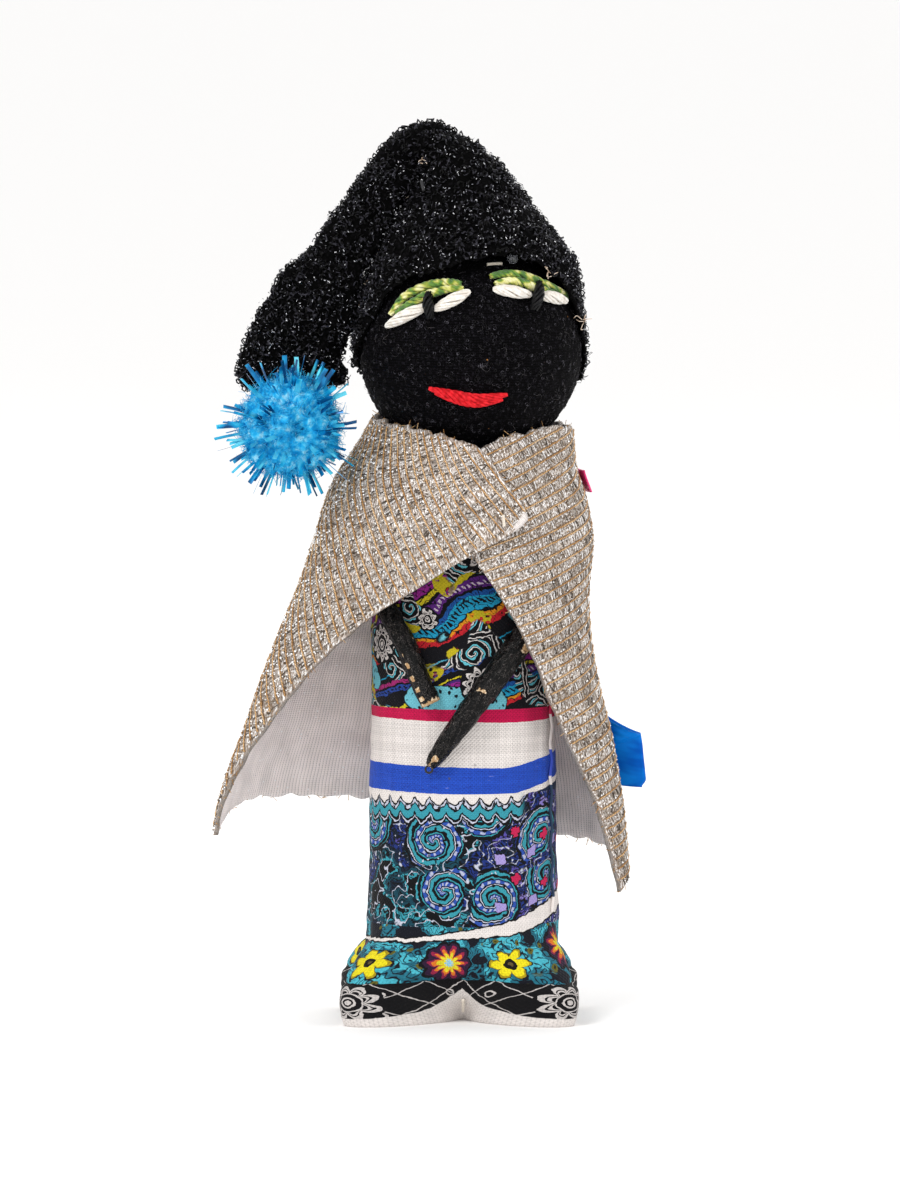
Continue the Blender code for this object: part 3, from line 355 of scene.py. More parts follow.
class Field:
    """A number at each point of a surface. Arithmetic on it adds Math nodes to its material."""

    def __init__(self, tree, socket):
        self.tree, self.socket = tree, socket

    def op(self, operation, *others):
        node = self.tree.nodes.new("ShaderNodeMath")
        node.operation = operation
        for slot, value in zip(node.inputs, (self, *others)):
            if isinstance(value, Field):
                self.tree.links.new(value.socket, slot)
            else:
                slot.default_value = value
        return Field(self.tree, node.outputs[0])

    def __add__(self, other):
        return self.op("ADD", other)

    def __sub__(self, other):
        return self.op("SUBTRACT", other)

    def __mul__(self, other):
        return self.op("MULTIPLY", other)

    def __truediv__(self, other):
        return self.op("DIVIDE", other)

    def flip(self):
        """One less the value."""
        return (self * -1) + 1

    def size(self):
        return self.op("ABSOLUTE")

    def wave(self):
        return self.op("SINE")

    def near(self, period):
        """The value's distance from the nearest whole number of periods, with its sign."""
        return self.op("WRAP", period / 2, -period / 2)

    def index(self, period):
        """The number of the nearest whole period."""
        return ((self / period) + 0.5).op("FLOOR")

    def ramp(self, low, high, start=0.0, end=1.0, smoothly=False):
        """From start to end while the value goes from low to high."""
        node = self.tree.nodes.new("ShaderNodeMapRange")
        node.interpolation_type = "SMOOTHSTEP" if smoothly else "LINEAR"
        self.tree.links.new(self.socket, node.inputs["Value"])
        for name, value in zip(("From Min", "From Max", "To Min", "To Max"), (low, high, start, end)):
            node.inputs[name].default_value = value
        return Field(self.tree, node.outputs["Result"])

    def below(self, limit, soft=0.08):
        return self.ramp(limit - soft / 2, limit + soft / 2, 1.0, 0.0)

    def above(self, limit, soft=0.08):
        return self.ramp(limit - soft / 2, limit + soft / 2, 0.0, 1.0)

    def between(self, low, high, soft=0.08):
        return self.above(low, soft) * self.below(high, soft)


class Finish:
    """A node material with one Principled shader, and the tools to paint it."""

    def __init__(self, name, base, **values):
        self.made = bpy.data.materials.new(name)
        self.made.use_nodes = True
        self.tree = self.made.node_tree
        self.shader = self.tree.nodes["Principled BSDF"]
        self.colour = None
        self.base = linear(base)
        self.shader.inputs["Base Color"].default_value = self.base
        for key, value in values.items():
            name = key.replace("_", " ").title().replace("Ior", "IOR")
            self.shader.inputs[name].default_value = value

    def node(self, kind, **inputs):
        made = self.tree.nodes.new("ShaderNode" + kind)
        for key, value in inputs.items():
            slot = made.inputs[key]
            if isinstance(value, Field):
                self.tree.links.new(value.socket, slot)
            elif isinstance(value, bpy.types.NodeSocket):
                self.tree.links.new(value, slot)
            else:
                slot.default_value = value
        return made

    def cloth(self):
        """Places along and up the cloth, in millimetres, from the piece's own map."""
        places = self.tree.nodes.new("ShaderNodeUVMap")
        places.uv_map = "cloth"
        parts = self.node("SeparateXYZ", Vector=places.outputs["UV"])
        return Field(self.tree, parts.outputs["X"]), Field(self.tree, parts.outputs["Y"])

    def solid(self):
        """Places in the object's own space, in millimetres."""
        places = self.tree.nodes.new("ShaderNodeTexCoord")
        grown = self.node("VectorMath", Vector=places.outputs["Object"])
        grown.operation = "SCALE"
        grown.inputs["Scale"].default_value = 1000.0
        return grown.outputs["Vector"]

    def vector(self, x, y, z=0.0):
        return self.node("CombineXYZ", X=x, Y=y, Z=z).outputs["Vector"]

    def noise(self, vector, scale, detail):
        """Clouds from 0 to 1."""
        made = self.node("TexNoise", Vector=vector, Scale=scale, Detail=detail, Roughness=0.5)
        return Field(self.tree, made.outputs["Fac"])

    def clouds(self, x, y, grain, place, detail, grain_up=None):
        """Clouds over the cloth: their grain across, and upwards where that differs."""
        return self.noise(self.vector(x * grain, y * (grain_up or grain), place), 1.0, detail)

    def draw(self, x, y):
        """A random number for each pair of whole numbers."""
        made = self.node("TexWhiteNoise", Vector=self.vector(x, y))
        return Field(self.tree, made.outputs["Value"])

    def cells(self, vector, scale):
        """Distance to, and random numbers of, scattered cells."""
        made = self.node("TexVoronoi", Vector=vector, Scale=scale, Randomness=1.0)
        parts = self.node("SeparateColor", Color=made.outputs["Color"])
        return Field(self.tree, made.outputs["Distance"]), Field(self.tree, parts.outputs["Red"])

    def curls(self, x, y, size):
        """Scattered round places: how far and at what turn from each, its edge, and its number."""
        vector = self.vector(x, y)
        made, edge = (
            self.node("TexVoronoi", Vector=vector, Scale=1 / size, Randomness=0.8) for _ in range(2)
        )
        made.voronoi_dimensions = edge.voronoi_dimensions = "2D"
        edge.feature = "DISTANCE_TO_EDGE"
        away = self.tree.nodes.new("ShaderNodeVectorMath")
        away.operation = "SUBTRACT"
        self.tree.links.new(vector, away.inputs[0])
        self.tree.links.new(made.outputs["Position"], away.inputs[1])
        parts = self.node("SeparateXYZ", Vector=away.outputs["Vector"])
        across, up = Field(self.tree, parts.outputs["X"]), Field(self.tree, parts.outputs["Y"])
        shades = self.node("SeparateColor", Color=made.outputs["Color"])
        number = Field(self.tree, shades.outputs["Red"])
        far = ((across * across) + (up * up)).op("SQRT")
        turn = across.op("ARCTAN2", up) + number * TAU
        return far, turn, Field(self.tree, edge.outputs["Distance"]) * size, number

    def take_colour(self, slot):
        """Give a node's colour slot what is painted so far."""
        if self.colour is None:
            slot.default_value = self.base
        else:
            self.tree.links.new(self.colour, slot)

    def paint(self, colour, mask):
        """Lay a colour, or a colour socket, over what is there."""
        made = self.tree.nodes.new("ShaderNodeMix")
        made.data_type = "RGBA"
        self.tree.links.new(mask.socket, made.inputs[0])
        self.take_colour(made.inputs[6])
        if isinstance(colour, str):
            made.inputs[7].default_value = linear(colour)
        else:
            self.tree.links.new(colour, made.inputs[7])
        self.colour = made.outputs[2]

    def bands(self, level, stops, mask=None, soft=False):
        """Paint the steps of a level: each stop is the level where a colour starts, or None for bare."""
        low, high = stops[0][0], stops[-1][0] + 1e-3
        ramp = self.tree.nodes.new("ShaderNodeValToRGB")
        ramp.color_ramp.interpolation = "LINEAR" if soft else "CONSTANT"
        elements = ramp.color_ramp.elements
        elements.remove(elements[1])
        for at, (limit, colour) in enumerate(stops):
            place = (limit - low) / (high - low)
            element = elements[0] if at == 0 else elements.new(place)
            element.position = place
            element.color = (0, 0, 0, 0) if colour is None else linear(colour)
        self.tree.links.new(level.ramp(low, high).socket, ramp.inputs[0])
        bare = Field(self.tree, ramp.outputs["Alpha"])
        self.paint(ramp.outputs["Color"], bare if mask is None else bare * mask)

    def grades(self, level, stops):
        """Paint a level's colours with soft changes from each to the next."""
        self.bands(level, stops, soft=True)

    def shade(self, amount, strength):
        """Darken or lighten what is there as a field goes from 0 to 1."""
        made = self.node("HueSaturation", Value=amount.ramp(0.0, 1.0, 1 - strength, 1 + strength))
        self.take_colour(made.inputs["Color"])
        self.colour = made.outputs["Color"]

    def rough(self, field):
        self.tree.links.new(field.socket, self.shader.inputs["Roughness"])

    def bump(self, height, distance):
        """Relief: height goes from 0 to 1, and distance is its depth in metres."""
        made = self.node("Bump", Height=height, Strength=1.0, Distance=distance)
        before = self.shader.inputs["Normal"]
        if before.is_linked:
            self.tree.links.new(before.links[0].from_socket, made.inputs["Normal"])
        self.tree.links.new(made.outputs["Normal"], before)

    def done(self):
        if self.colour is not None:
            self.tree.links.new(self.colour, self.shader.inputs["Base Color"])
        return self.made

    def weave(self, x, y, pitch, depth):
        """Plain weave: threads over and under each other."""
        across = (x * (math.pi / pitch)).wave()
        along = (y * (math.pi / pitch)).wave()
        relief = (across * along) * 0.5 + 0.5
        self.bump(relief, depth)
        return relief


def mesh_of(name, points, faces, material, places=None, smooth_shade=True):
    """A mesh object from arrays. Faces all have one number of corners; places are each corner's map."""
    faces = np.ascontiguousarray(faces, dtype=np.int32)
    mesh = bpy.data.meshes.new(name)
    mesh.vertices.add(len(points))
    mesh.vertices.foreach_set("co", np.ascontiguousarray(points, dtype=np.float32).ravel())
    mesh.loops.add(faces.size)
    mesh.loops.foreach_set("vertex_index", faces.ravel())
    mesh.polygons.add(len(faces))
    starts = np.arange(0, faces.size, faces.shape[1], dtype=np.int32)
    mesh.polygons.foreach_set("loop_start", starts)
    mesh.update(calc_edges=True)
    mesh.validate()
    if places is not None:
        layer = mesh.uv_layers.new(name="cloth")
        layer.data.foreach_set("uv", np.ascontiguousarray(places, dtype=np.float32).ravel())
    mesh.polygons.foreach_set("use_smooth", np.full(len(faces), smooth_shade))
    for one in material if isinstance(material, (list, tuple)) else (material,):
        mesh.materials.append(one)
    made = bpy.data.objects.new(name, mesh)
    bpy.context.scene.collection.objects.link(made)
    return made


def grid_faces(rows, columns, wrap=False):
    """Quads of a grid of points, and the same quads counted with an extra column where it wraps."""
    steps = columns if wrap else columns - 1
    row, column = np.meshgrid(np.arange(rows - 1), np.arange(steps), indexing="ij")
    row, column = row.ravel(), column.ravel()

    def corners(width, turn):
        after = (column + 1) % columns if turn else column + 1
        low, high = row * width, (row + 1) * width
        return np.stack([low + column, low + after, high + after, high + column], axis=1)

    return corners(columns, wrap), corners(columns + (1 if wrap else 0), False)


def closed_faces(rows, columns, way=1):
    """Quads of a wrapped grid and of its two ends. way is -1 where the grid runs the other way round."""
    ends = [
        [base + at - 1, base + at, base + columns - at - 1, base + (columns - at) % columns][::flip * way]
        for base, flip in ((0, 1), ((rows - 1) * columns, -1)) for at in range(1, columns // 2)
    ]
    return np.concatenate([grid_faces(rows, columns, True)[0], np.array(ends)])


def turned_over(faces, places):
    """The same quads and maps, facing the other way."""
    return faces[:, ::-1], places.reshape(-1, 4, 2)[:, ::-1].reshape(-1, 2)


def sphere(tilt, angle):
    """Directions at tilts from level and angles round."""
    return stack(np.cos(tilt) * np.cos(angle), np.cos(tilt) * np.sin(angle), np.sin(tilt))


def normals_of(grid, wrap=False):
    """Unit normals of a grid of points, from the way that its rows and columns run."""
    if wrap:
        across = np.roll(grid, -1, axis=1) - np.roll(grid, 1, axis=1)
    else:
        across = np.gradient(grid, axis=1)
    return unit(np.cross(across, np.gradient(grid, axis=0)))


def frames(paths):
    """Directions along, beside and across many paths of equal count."""
    run = unit(np.gradient(paths, axis=1))
    guide = np.zeros_like(run)
    start = np.where(np.abs(run[:, :1, 2:3]) < 0.9, np.array([0, 0, 1.0]), np.array([1.0, 0, 0]))
    side = np.cross(start, run[:, :1])[:, 0]
    for at in range(paths.shape[1]):
        side = unit(side - (side * run[:, at]).sum(-1, keepdims=True) * run[:, at])
        guide[:, at] = side
    return run, guide, np.cross(run, guide)


def beside(path):
    """Directions beside and across one path."""
    _, side, other = frames(path[None])
    return side[0], other[0]


def rings(side, other, turn):
    """Directions round one path, at turns from its side."""
    return side[:, None] * np.cos(turn)[..., None] + other[:, None] * np.sin(turn)[..., None]


def tubes(paths, radius, sides, caps=True, flat=1.0, turned=0.0):
    """Tubes along many paths of equal count, as points, quads and corner maps in millimetres.

    flat is the tubes' thickness as a share of their width, and turned turns their width round them.
    """
    paths = np.asarray(paths, float)
    many, count, _ = paths.shape
    radius = np.broadcast_to(radius, (many, count))
    _, guide, other = frames(paths)
    turned = np.broadcast_to(turned, (many,))[:, None, None]
    guide, other = (
        guide * np.cos(turned) + other * np.sin(turned), other * np.cos(turned) - guide * np.sin(turned)
    )
    angle = np.arange(sides) * TAU / sides
    ring = guide[:, :, None] * np.cos(angle)[:, None] + flat * other[:, :, None] * np.sin(angle)[:, None]
    points = paths[:, :, None] + ring * radius[:, :, None, None]
    quads, plain = grid_faces(count, sides, True)
    step = np.linalg.norm(np.diff(paths, axis=1), axis=-1)
    along = np.concatenate([np.zeros((many, 1)), np.cumsum(step, axis=1)], axis=1) / MM
    around = np.arange(sides + 1) / sides
    places = stack(around[None, None, :] * TAU * (radius[:, :, None] / MM), along[:, :, None])
    places = places.reshape(many, -1, 2)[:, plain.ravel()]
    faces = quads[None] + (np.arange(many) * count * sides)[:, None, None]
    points = points.reshape(-1, 3)
    faces = faces.reshape(-1, 4)
    places = places.reshape(-1, 2)
    if caps and sides % 2 == 0:
        first = (np.arange(many) * count * sides)[:, None]
        fan = []
        for at in range(1, sides - 2, 2):
            corners = np.array([0, at, at + 1, at + 2])
            fan += [first + corners[::-1], first + (count - 1) * sides + corners]
        fan = np.concatenate(fan)
        faces = np.concatenate([faces, fan])
        places = np.concatenate([places, np.zeros((fan.size, 2))])
    return points, faces, places


def joined(parts):
    """Several (points, faces, places) as one."""
    points, faces, places, first = [], [], [], 0
    for some_points, some_faces, some_places in parts:
        points.append(some_points)
        faces.append(some_faces + first)
        places.append(some_places)
        first += len(some_points)
    return np.concatenate(points), np.concatenate(faces), np.concatenate(places)


def strand(path, count):
    """A path of few points as a smooth one of count points."""
    path = np.asarray(path, float)
    rows = [(at / (len(path) - 1), *point) for at, point in enumerate(path)]
    return np.array([read_row(rows, at / (count - 1)) for at in range(count)])


def bundle(path, radius, plies, ply_radius, turns, seed):
    """Plies of thread twisted round a path."""
    path = np.asarray(path, float)
    count = len(path)
    side, other = beside(path)
    along = np.linspace(0, 1, count)
    draw = np.random.default_rng(seed)
    paths = []
    for ply in range(plies):
        turn = TAU * (ply / plies + turns * along) + draw.normal(0, 0.12, count).cumsum() * 0.3
        out = (np.broadcast_to(radius, (count,)) - ply_radius * 0.6)[:, None]
        paths.append(path + (side * np.cos(turn)[:, None] + other * np.sin(turn)[:, None]) * out)
    thick = ply_radius * np.clip(np.broadcast_to(radius, (count,)) / np.max(radius), 0.35, 1.0)
    return tubes(np.array(paths), thick, 5)


def scatter(grid, count, seed):
    """Random places, normals and tangents, spread evenly over a wrapped grid of points."""
    draw = np.random.default_rng(seed)
    quads, _ = grid_faces(grid.shape[0], grid.shape[1], True)
    flat = grid.reshape(-1, 3)
    one, two, three, four = (flat[quads[:, at]] for at in range(4))
    normal = np.cross(three - one, four - two)
    area = np.linalg.norm(normal, axis=-1)
    chosen = draw.choice(len(quads), count, p=area / area.sum())
    u, v = draw.random((2, count, 1))
    low = one[chosen] * (1 - u) + two[chosen] * u
    high = four[chosen] * (1 - u) + three[chosen] * u
    normal = normal[chosen] / np.maximum(area[chosen], 1e-15)[:, None]
    lean = draw.normal(size=(count, 3))
    lean = unit(lean - (lean * normal).sum(-1, keepdims=True) * normal)
    return low * (1 - v) + high * v, normal, lean, draw


def double_sheet(outer, inner, outer_map, inner_map):
    """A closed thin sheet between two open grids, with one number for each side's material."""
    rows, columns, _ = outer.shape
    quads, _ = grid_faces(rows, columns)
    size = rows * columns
    border = np.concatenate([
        np.arange(columns), np.arange(1, rows) * columns + columns - 1,
        (rows - 1) * columns + np.arange(columns - 2, -1, -1), np.arange(rows - 2, 0, -1) * columns,
    ])
    after = np.roll(border, -1)
    rim = np.stack([border, border + size, after + size, after], axis=1)
    faces = np.concatenate([quads, quads[:, ::-1] + size, rim])
    points = np.concatenate([outer.reshape(-1, 3), inner.reshape(-1, 3)])
    maps = np.concatenate([outer_map.reshape(-1, 2), inner_map.reshape(-1, 2)])
    places = maps[faces.ravel()]
    side = np.concatenate([np.zeros(len(quads)), np.ones(len(quads)), np.zeros(len(rim))])
    return points, faces, places, side.astype(np.int32)


def finished(made, body, slot, *replaced):
    """Sets a piece on its body and hides the CAD nodes that it stands for; slot, the name of its finish, is not
    used.
    """
    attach(made, body)
    if replaced:
        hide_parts(*replaced)
    return made

# The photograph's view: place, aim, distance, and height of the view at the object
CAMERA_PLACE = (-0.003, -2.56, 0.284)
CAMERA_TARGET = (-0.003, 0.0, 0.0962)
CAMERA_DISTANCE = math.dist(CAMERA_PLACE, CAMERA_TARGET)
CAMERA_VIEW = 0.276
SENSOR = 36.0
# The lights, and half the width of the floor
WORLD_LIGHT = 1.0
FLOOR = 30.0
STUDIO_LIGHTS = (
    ("key_light", (-0.9, -1.5, 1.5), 0.7, 17.0),
    ("fill_light", (1.3, -1.2, 0.7), 1.1, 4.0),
    ("back_light", (0.3, 1.2, 1.4), 0.8, 5.0),
)


def make_stage():
    """A pale floor, soft lights, and the camera at the photograph's angle."""
    floor_material = Finish("stage_floor", "#fcfbfa", roughness=0.9).done()
    corners = [(-FLOOR, -FLOOR, 0), (FLOOR, -FLOOR, 0), (FLOOR, FLOOR, 0), (-FLOOR, FLOOR, 0)]
    floor = mesh_of("stage_floor", np.array(corners), [[0, 1, 2, 3]], floor_material, smooth_shade=False)

    world = bpy.data.worlds.new("studio")
    world.use_nodes = True
    world.node_tree.nodes["Background"].inputs["Color"].default_value = (1.0, 1.0, 1.0, 1.0)
    world.node_tree.nodes["Background"].inputs["Strength"].default_value = WORLD_LIGHT
    bpy.context.scene.world = world
    bpy.context.scene.view_settings.view_transform = "Standard"

    middle = Vector((0, 0, 0.10))
    for name, place, width, power in STUDIO_LIGHTS:
        light = bpy.data.lights.new(name, "AREA")
        light.shape = "DISK"
        light.size = width
        light.energy = power
        lamp = bpy.data.objects.new(name, light)
        lamp.location = place
        lamp.rotation_euler = (middle - Vector(place)).to_track_quat("-Z", "Y").to_euler()
        bpy.context.scene.collection.objects.link(lamp)

    camera = bpy.data.cameras.new("camera")
    camera.sensor_fit = "VERTICAL"
    camera.sensor_height = camera.sensor_width = SENSOR
    camera.lens = SENSOR * CAMERA_DISTANCE / CAMERA_VIEW
    camera.clip_start, camera.clip_end = 0.1, 100.0
    eye = bpy.data.objects.new("camera", camera)
    eye.location = CAMERA_PLACE
    look = Vector(CAMERA_TARGET) - Vector(CAMERA_PLACE)
    eye.rotation_euler = look.to_track_quat("-Z", "Y").to_euler()
    bpy.context.scene.collection.objects.link(eye)
    bpy.context.scene.camera = eye


make_stage()

# Printed cotton: where the bands change, as heights in millimetres, and the seam's place
SEAM_TURN = math.radians(-31)
CLOTH_RADIUS = 20.3
FIN_CREASE = 10.0
BAND_TOPS = (10.2, 22.5, 53.0, 72.4, 140.0)
THREAD = 0.44


def cotton(name, base, hand=1.5):
    """Cotton cloth with its places, as woven and as printed: the print rises towards the right side."""
    finish = Finish(name, base, roughness=0.9, sheen_weight=0.04, specular_ior_level=0.2)
    x, y = finish.cloth()
    rise = x.ramp(8.0, 31.0, 0.0, 1.0, True) * y.ramp(60.0, 69.0, 4.2, 0.7)
    hand_x, hand_y = ((finish.clouds(x, y, 0.55, place, 2.0) - 0.5) * hand for place in (21.0, 33.0))
    return finish, x, y, x + hand_x, y - rise + hand_y


def cotton_done(finish, x, y, depth=0.00010, contrast=0.20):
    """The weave's relief, threads that vary in shade, and painted shade: darker in the hollows between threads,
    lighter on the raised threads.
    """
    weave = finish.weave(x, y, THREAD, depth)
    warp = finish.draw(x.index(THREAD), 1.0)
    weft = finish.draw(y.index(THREAD), 2.0)
    # Painted shade: the hollows between the threads are darkened, and the weave's raised threads are lightened.
    hollow_shade = x.near(THREAD).size().op("MAXIMUM", y.near(THREAD).size()).above(THREAD * 0.38, 0.08)
    finish.shade((warp + weft) * 0.18 + weave * 0.4 - hollow_shade * 0.5 + 0.25, contrast)
    return finish.done()


def rosette(finish, x, y, radius, petals, ground="#0b0a0e", lines="#d6cfcb"):
    """A ring of petals round a ringed middle, on a disc."""
    far = ((x * x) + (y * y)).op("SQRT")
    turn = x.op("ARCTAN2", y)
    leaf = (turn * petals / 2).wave().size()
    finish.bands(far, ((0.0, ground), (radius, None)))
    petal_edge = far / (leaf * 0.36 + 0.60)
    finish.bands(petal_edge, (
        (0.0, None), (radius * 0.50, None), (radius * 0.62, lines), (radius * 0.70, ground),
        (radius * 0.76, lines), (radius * 0.94, ground), (radius * 1.0, None),
    ))
    finish.bands(far, (
        (0.0, lines), (radius * 0.12, ground), (radius * 0.20, lines), (radius * 0.27, ground),
        (radius * 0.42, lines), (radius * 0.47, None),
    ))


def contours(finish, x, y, grain, count, colour, width, place):
    """Thin wandering lines, as drawn by a pen."""
    level = finish.clouds(x, y, grain, place, 2.0) * count
    finish.paint(colour, level.near(1.0).size().below(width, width))


def slanting_stripe(finish, x, y):
    """The off-white stripe between the prints: it rises and widens towards the right."""
    level = y - x * 0.06
    top = level - x.ramp(-14.0, 26.0, 0.35, 3.6, True)
    shown = x.between(-44.0, 42.0, 2.0)
    finish.paint("#0b0b11", level.above(19.5, 0.1) * top.below(20.6, 0.1) * shown)
    finish.paint("#d9d2ce", level.above(19.9, 0.1) * top.below(20.2, 0.1) * shown)


def print_top():
    """The dark many-coloured print of the top: curved bright stripes, rosettes and spotted patches."""
    finish, wide, high, x, v = cotton("cotton_top", "#0b0a10")
    bend = finish.clouds(x, v, 0.05, 3.0, 1.0)
    level = (v * 0.92 + x * -0.40 + bend * 15.0 + 5.0).op("WRAP", 24.0, 0.0)
    finish.bands(level, (
        (0.0, "#0b0a10"), (1.6, "#b81f2a"), (2.9, "#d88a1c"), (3.6, "#0b0a10"), (4.0, "#1f95bc"),
        (6.4, "#1a4f96"), (7.4, "#0b0a10"), (7.9, "#552274"), (9.8, "#0b0a10"), (10.2, "#c4b422"),
        (10.9, "#0b0a10"), (11.2, "#8a2380"), (12.4, "#45256c"), (13.2, "#0b0a10"), (13.6, "#c4b422"),
        (14.2, "#0b0a10"), (16.4, "#24418e"), (17.4, "#0b0a10"), (17.9, "#982568"), (18.8, "#0b0a10"),
        (20.4, "#1f95bc"), (21.0, "#0b0a10"), (24.0, "#0b0a10"),
    ))
    # Small marks inside the wide colours
    dash = (x * 0.8 + v * 1.1).near(1.3).size().below(0.3)
    for colour, low, top in (("#0b0a10", 4.8, 6.0), ("#c9b6c8", 8.4, 9.2), ("#0b0a10", 16.7, 17.1)):
        finish.paint(colour, dash * level.between(low, top, 0.1))
    contours(finish, x, v, 0.22, 11.0, "#0b0a10", 0.08, 2.0)
    # Curled patches in black, white and turquoise
    patch = finish.clouds(x, v, 0.10, 4.0, 0.0)
    far, turn, edge, _ = finish.curls(x, v, 7.6)
    dark = patch.above(0.575, 0.01)
    coil = (far * 0.62 - turn / TAU).op("WRAP", 1.0, 0.0)
    finish.bands(coil, (
        (0.0, "#0b0a0e"), (0.46, "#cfc9c6"), (0.62, "#0b0a0e"), (0.72, "#62b9c8"), (0.92, "#0b0a0e"),
        (1.0, "#0b0a0e"),
    ), dark)
    finish.bands(edge, ((0.0, "#0b0a0e"), (0.35, "#cfc9c6"), (0.62, "#0b0a0e"), (0.95, None)), dark)
    spot, number = finish.cells(finish.vector(x, v, 0.5), 0.72)
    light = patch.below(0.36, 0.01)
    finish.paint("#0b0a10", patch.below(0.375, 0.01))
    finish.paint("#69b5c4", light * spot.above(0.30, 0.08))
    yellow = finish.clouds(x, v, 0.13, 14.0, 0.0).above(0.625, 0.01)
    yellow = yellow * patch.between(0.38, 0.57, 0.01)
    finish.paint("#b8a81e", yellow * spot.above(0.36, 0.08))
    finish.paint("#b8342c", yellow * spot.below(0.2) * number.above(0.5))
    # Black and white rosettes, here and there
    for start, apart, up, step, rows, radius, petals in (
        (4.0, 25.0, 78.0, 9.0, 31.0, 4.8, 11.0), (15.0, 23.0, 88.0, 5.0, 33.0, 2.6, 8.0),
    ):
        across = x - start
        rosette(finish, across.near(apart), (v - up + across.index(apart) * step).near(rows), radius, petals)
    return cotton_done(finish, wide, high)


def print_stripes():
    """Crimson, off-white and royal blue stripes, printed straight with rough edges."""
    finish, wide, high, x, v = cotton("cotton_stripes", "#d9d2ce", 0.4)
    level = v + (x * 0.05).wave() * 0.5
    finish.bands(level, (
        (40.0, "#16233c"), (51.6, "#d9d2ce"), (52.8, "#2148b0"), (59.0, "#d9d2ce"),
        (69.5, "#bb1047"), (72.5, "#0b0a10"), (76.0, "#0b0a10"),
    ))
    worn = finish.clouds(x, high, 0.4, 4.0, 3.0, 3.0)
    finish.paint("#8f95d8", worn.above(0.74, 0.1) * level.between(53.0, 58.6, 0.4) * 0.8)
    finish.paint("#1d3390", worn.below(0.40, 0.1) * level.between(53.0, 58.6, 0.4) * 0.6)
    speck, number = finish.cells(finish.vector(x, v, 7.5), 0.35)
    finish.paint("#4a4a58", speck.below(0.10, 0.05) * number.above(0.92))
    faded = finish.clouds(x, high, 0.12, 5.0, 3.0)
    finish.shade(faded, 0.10)
    return cotton_done(finish, wide, high, 0.00014, 0.34)


def print_lower():
    """Turquoise, black, navy and violet: curls, scallops, pen lines and small bright marks."""
    finish, wide, high, x, v = cotton("cotton_lower", "#16304c")
    ink, pale, sky = "#08080c", "#b9bccb", "#338d9c"
    # Navy and violet fields on the right, turquoise ones on the left
    side = x.ramp(-2.0, 12.0, 0.0, 0.26, True)
    cloud = finish.clouds(x, v, 0.11, 1.0, 2.0, 0.13) + side
    finish.bands(cloud, (
        (0.0, ink), (0.44, sky), (0.48, "#123f4e"), (0.53, "#0e1f33"), (0.60, "#1c2f72"), (0.70, "#0e1f33"),
        (0.74, "#4f4896"), (0.80, "#1c2f72"), (0.90, "#7d70b4"), (1.0, "#0e1f33"),
    ))
    contours(finish, x, v, 0.20, 15.0, ink, 0.17, 4.0)
    contours(finish, x, v, 0.12, 9.0, pale, 0.045, 8.0)
    dash = (x.near(1.3).size().below(0.3)) * (v.near(1.0).size().below(0.22))
    finish.paint(ink, dash * cloud.above(0.54) * 0.8)
    # Curls with beaded rims
    far, turn, edge, number = finish.curls(x, v + 4.0, 14.5)
    curl = (far * 0.29 - turn / TAU).op("WRAP", 1.0, 0.0)
    chosen = number.above(0.34, 0.02)
    rim = edge.above(1.0, 0.1) * chosen
    finish.bands(curl, (
        (0.0, ink), (0.12, sky), (0.34, ink), (0.42, pale), (0.47, ink), (0.55, "#2a4a9c"),
        (0.78, ink), (0.86, sky), (0.94, ink), (1.0, ink),
    ), rim * far.below(6.6, 0.1))
    beads = (turn * 14.0).wave().above(0.1, 0.3) * curl.between(0.57, 0.74, 0.05) * rim * far.below(6.6)
    finish.paint(pale, beads * 0.8)
    finish.paint(ink, far.between(6.6, 7.3) * rim)
    dots, number = finish.cells(finish.vector(x, v, 3.0), 0.8)
    finish.paint(pale, dots.below(0.16, 0.06) * number.above(0.62))
    finish.paint(ink, dots.below(0.3, 0.06) * number.below(0.2))
    # Crimson marks and lilac tiles on the right
    kx, ky = (x - 12.0).near(8.6), (v - 33.0 + (x - 12.0).index(8.6) * 3.2).near(11.0)
    bars = kx.size().op("MINIMUM", ky.size()) * 2.2
    cross = bars.op("MAXIMUM", kx.size().op("MAXIMUM", ky.size()))
    right = x.between(7.0, 40.0, 0.2) * v.between(22.0, 46.0, 0.2)
    finish.bands(cross, ((0.0, "#b81f4c"), (1.15, ink), (1.5, None)), right)
    tx, ty = (x - 8.0).near(8.6), (v - 38.0).near(11.0)
    tile = tx.size().op("MAXIMUM", ty.size() * 1.3)
    finish.bands(tile, ((0.0, "#9a8cc6"), (1.3, ink), (1.6, None)), right)
    # Scalloped edge along the top of the band
    wave = (x * (TAU / 7.4)).wave().size()
    edge = v + wave * 1.8 - 1.8
    finish.bands(edge, (
        (30.0, None), (45.6, ink), (46.2, pale), (46.6, ink), (47.2, sky), (48.9, ink), (49.4, pale),
        (50.1, ink), (50.6, "#d9d2ce"), (60.0, "#d9d2ce"),
    ), x.below(14.0, 2.0))
    finish.paint("#d9d2ce", v.above(51.6, 0.2) * x.above(14.0, 2.0))
    pearls = x.near(1.7).size().op("MAXIMUM", (edge - 49.75).size())
    finish.paint(ink, pearls.below(0.28, 0.1))
    # The slanting white stripe under the band
    slanting_stripe(finish, x, v)
    return cotton_done(finish, wide, high)


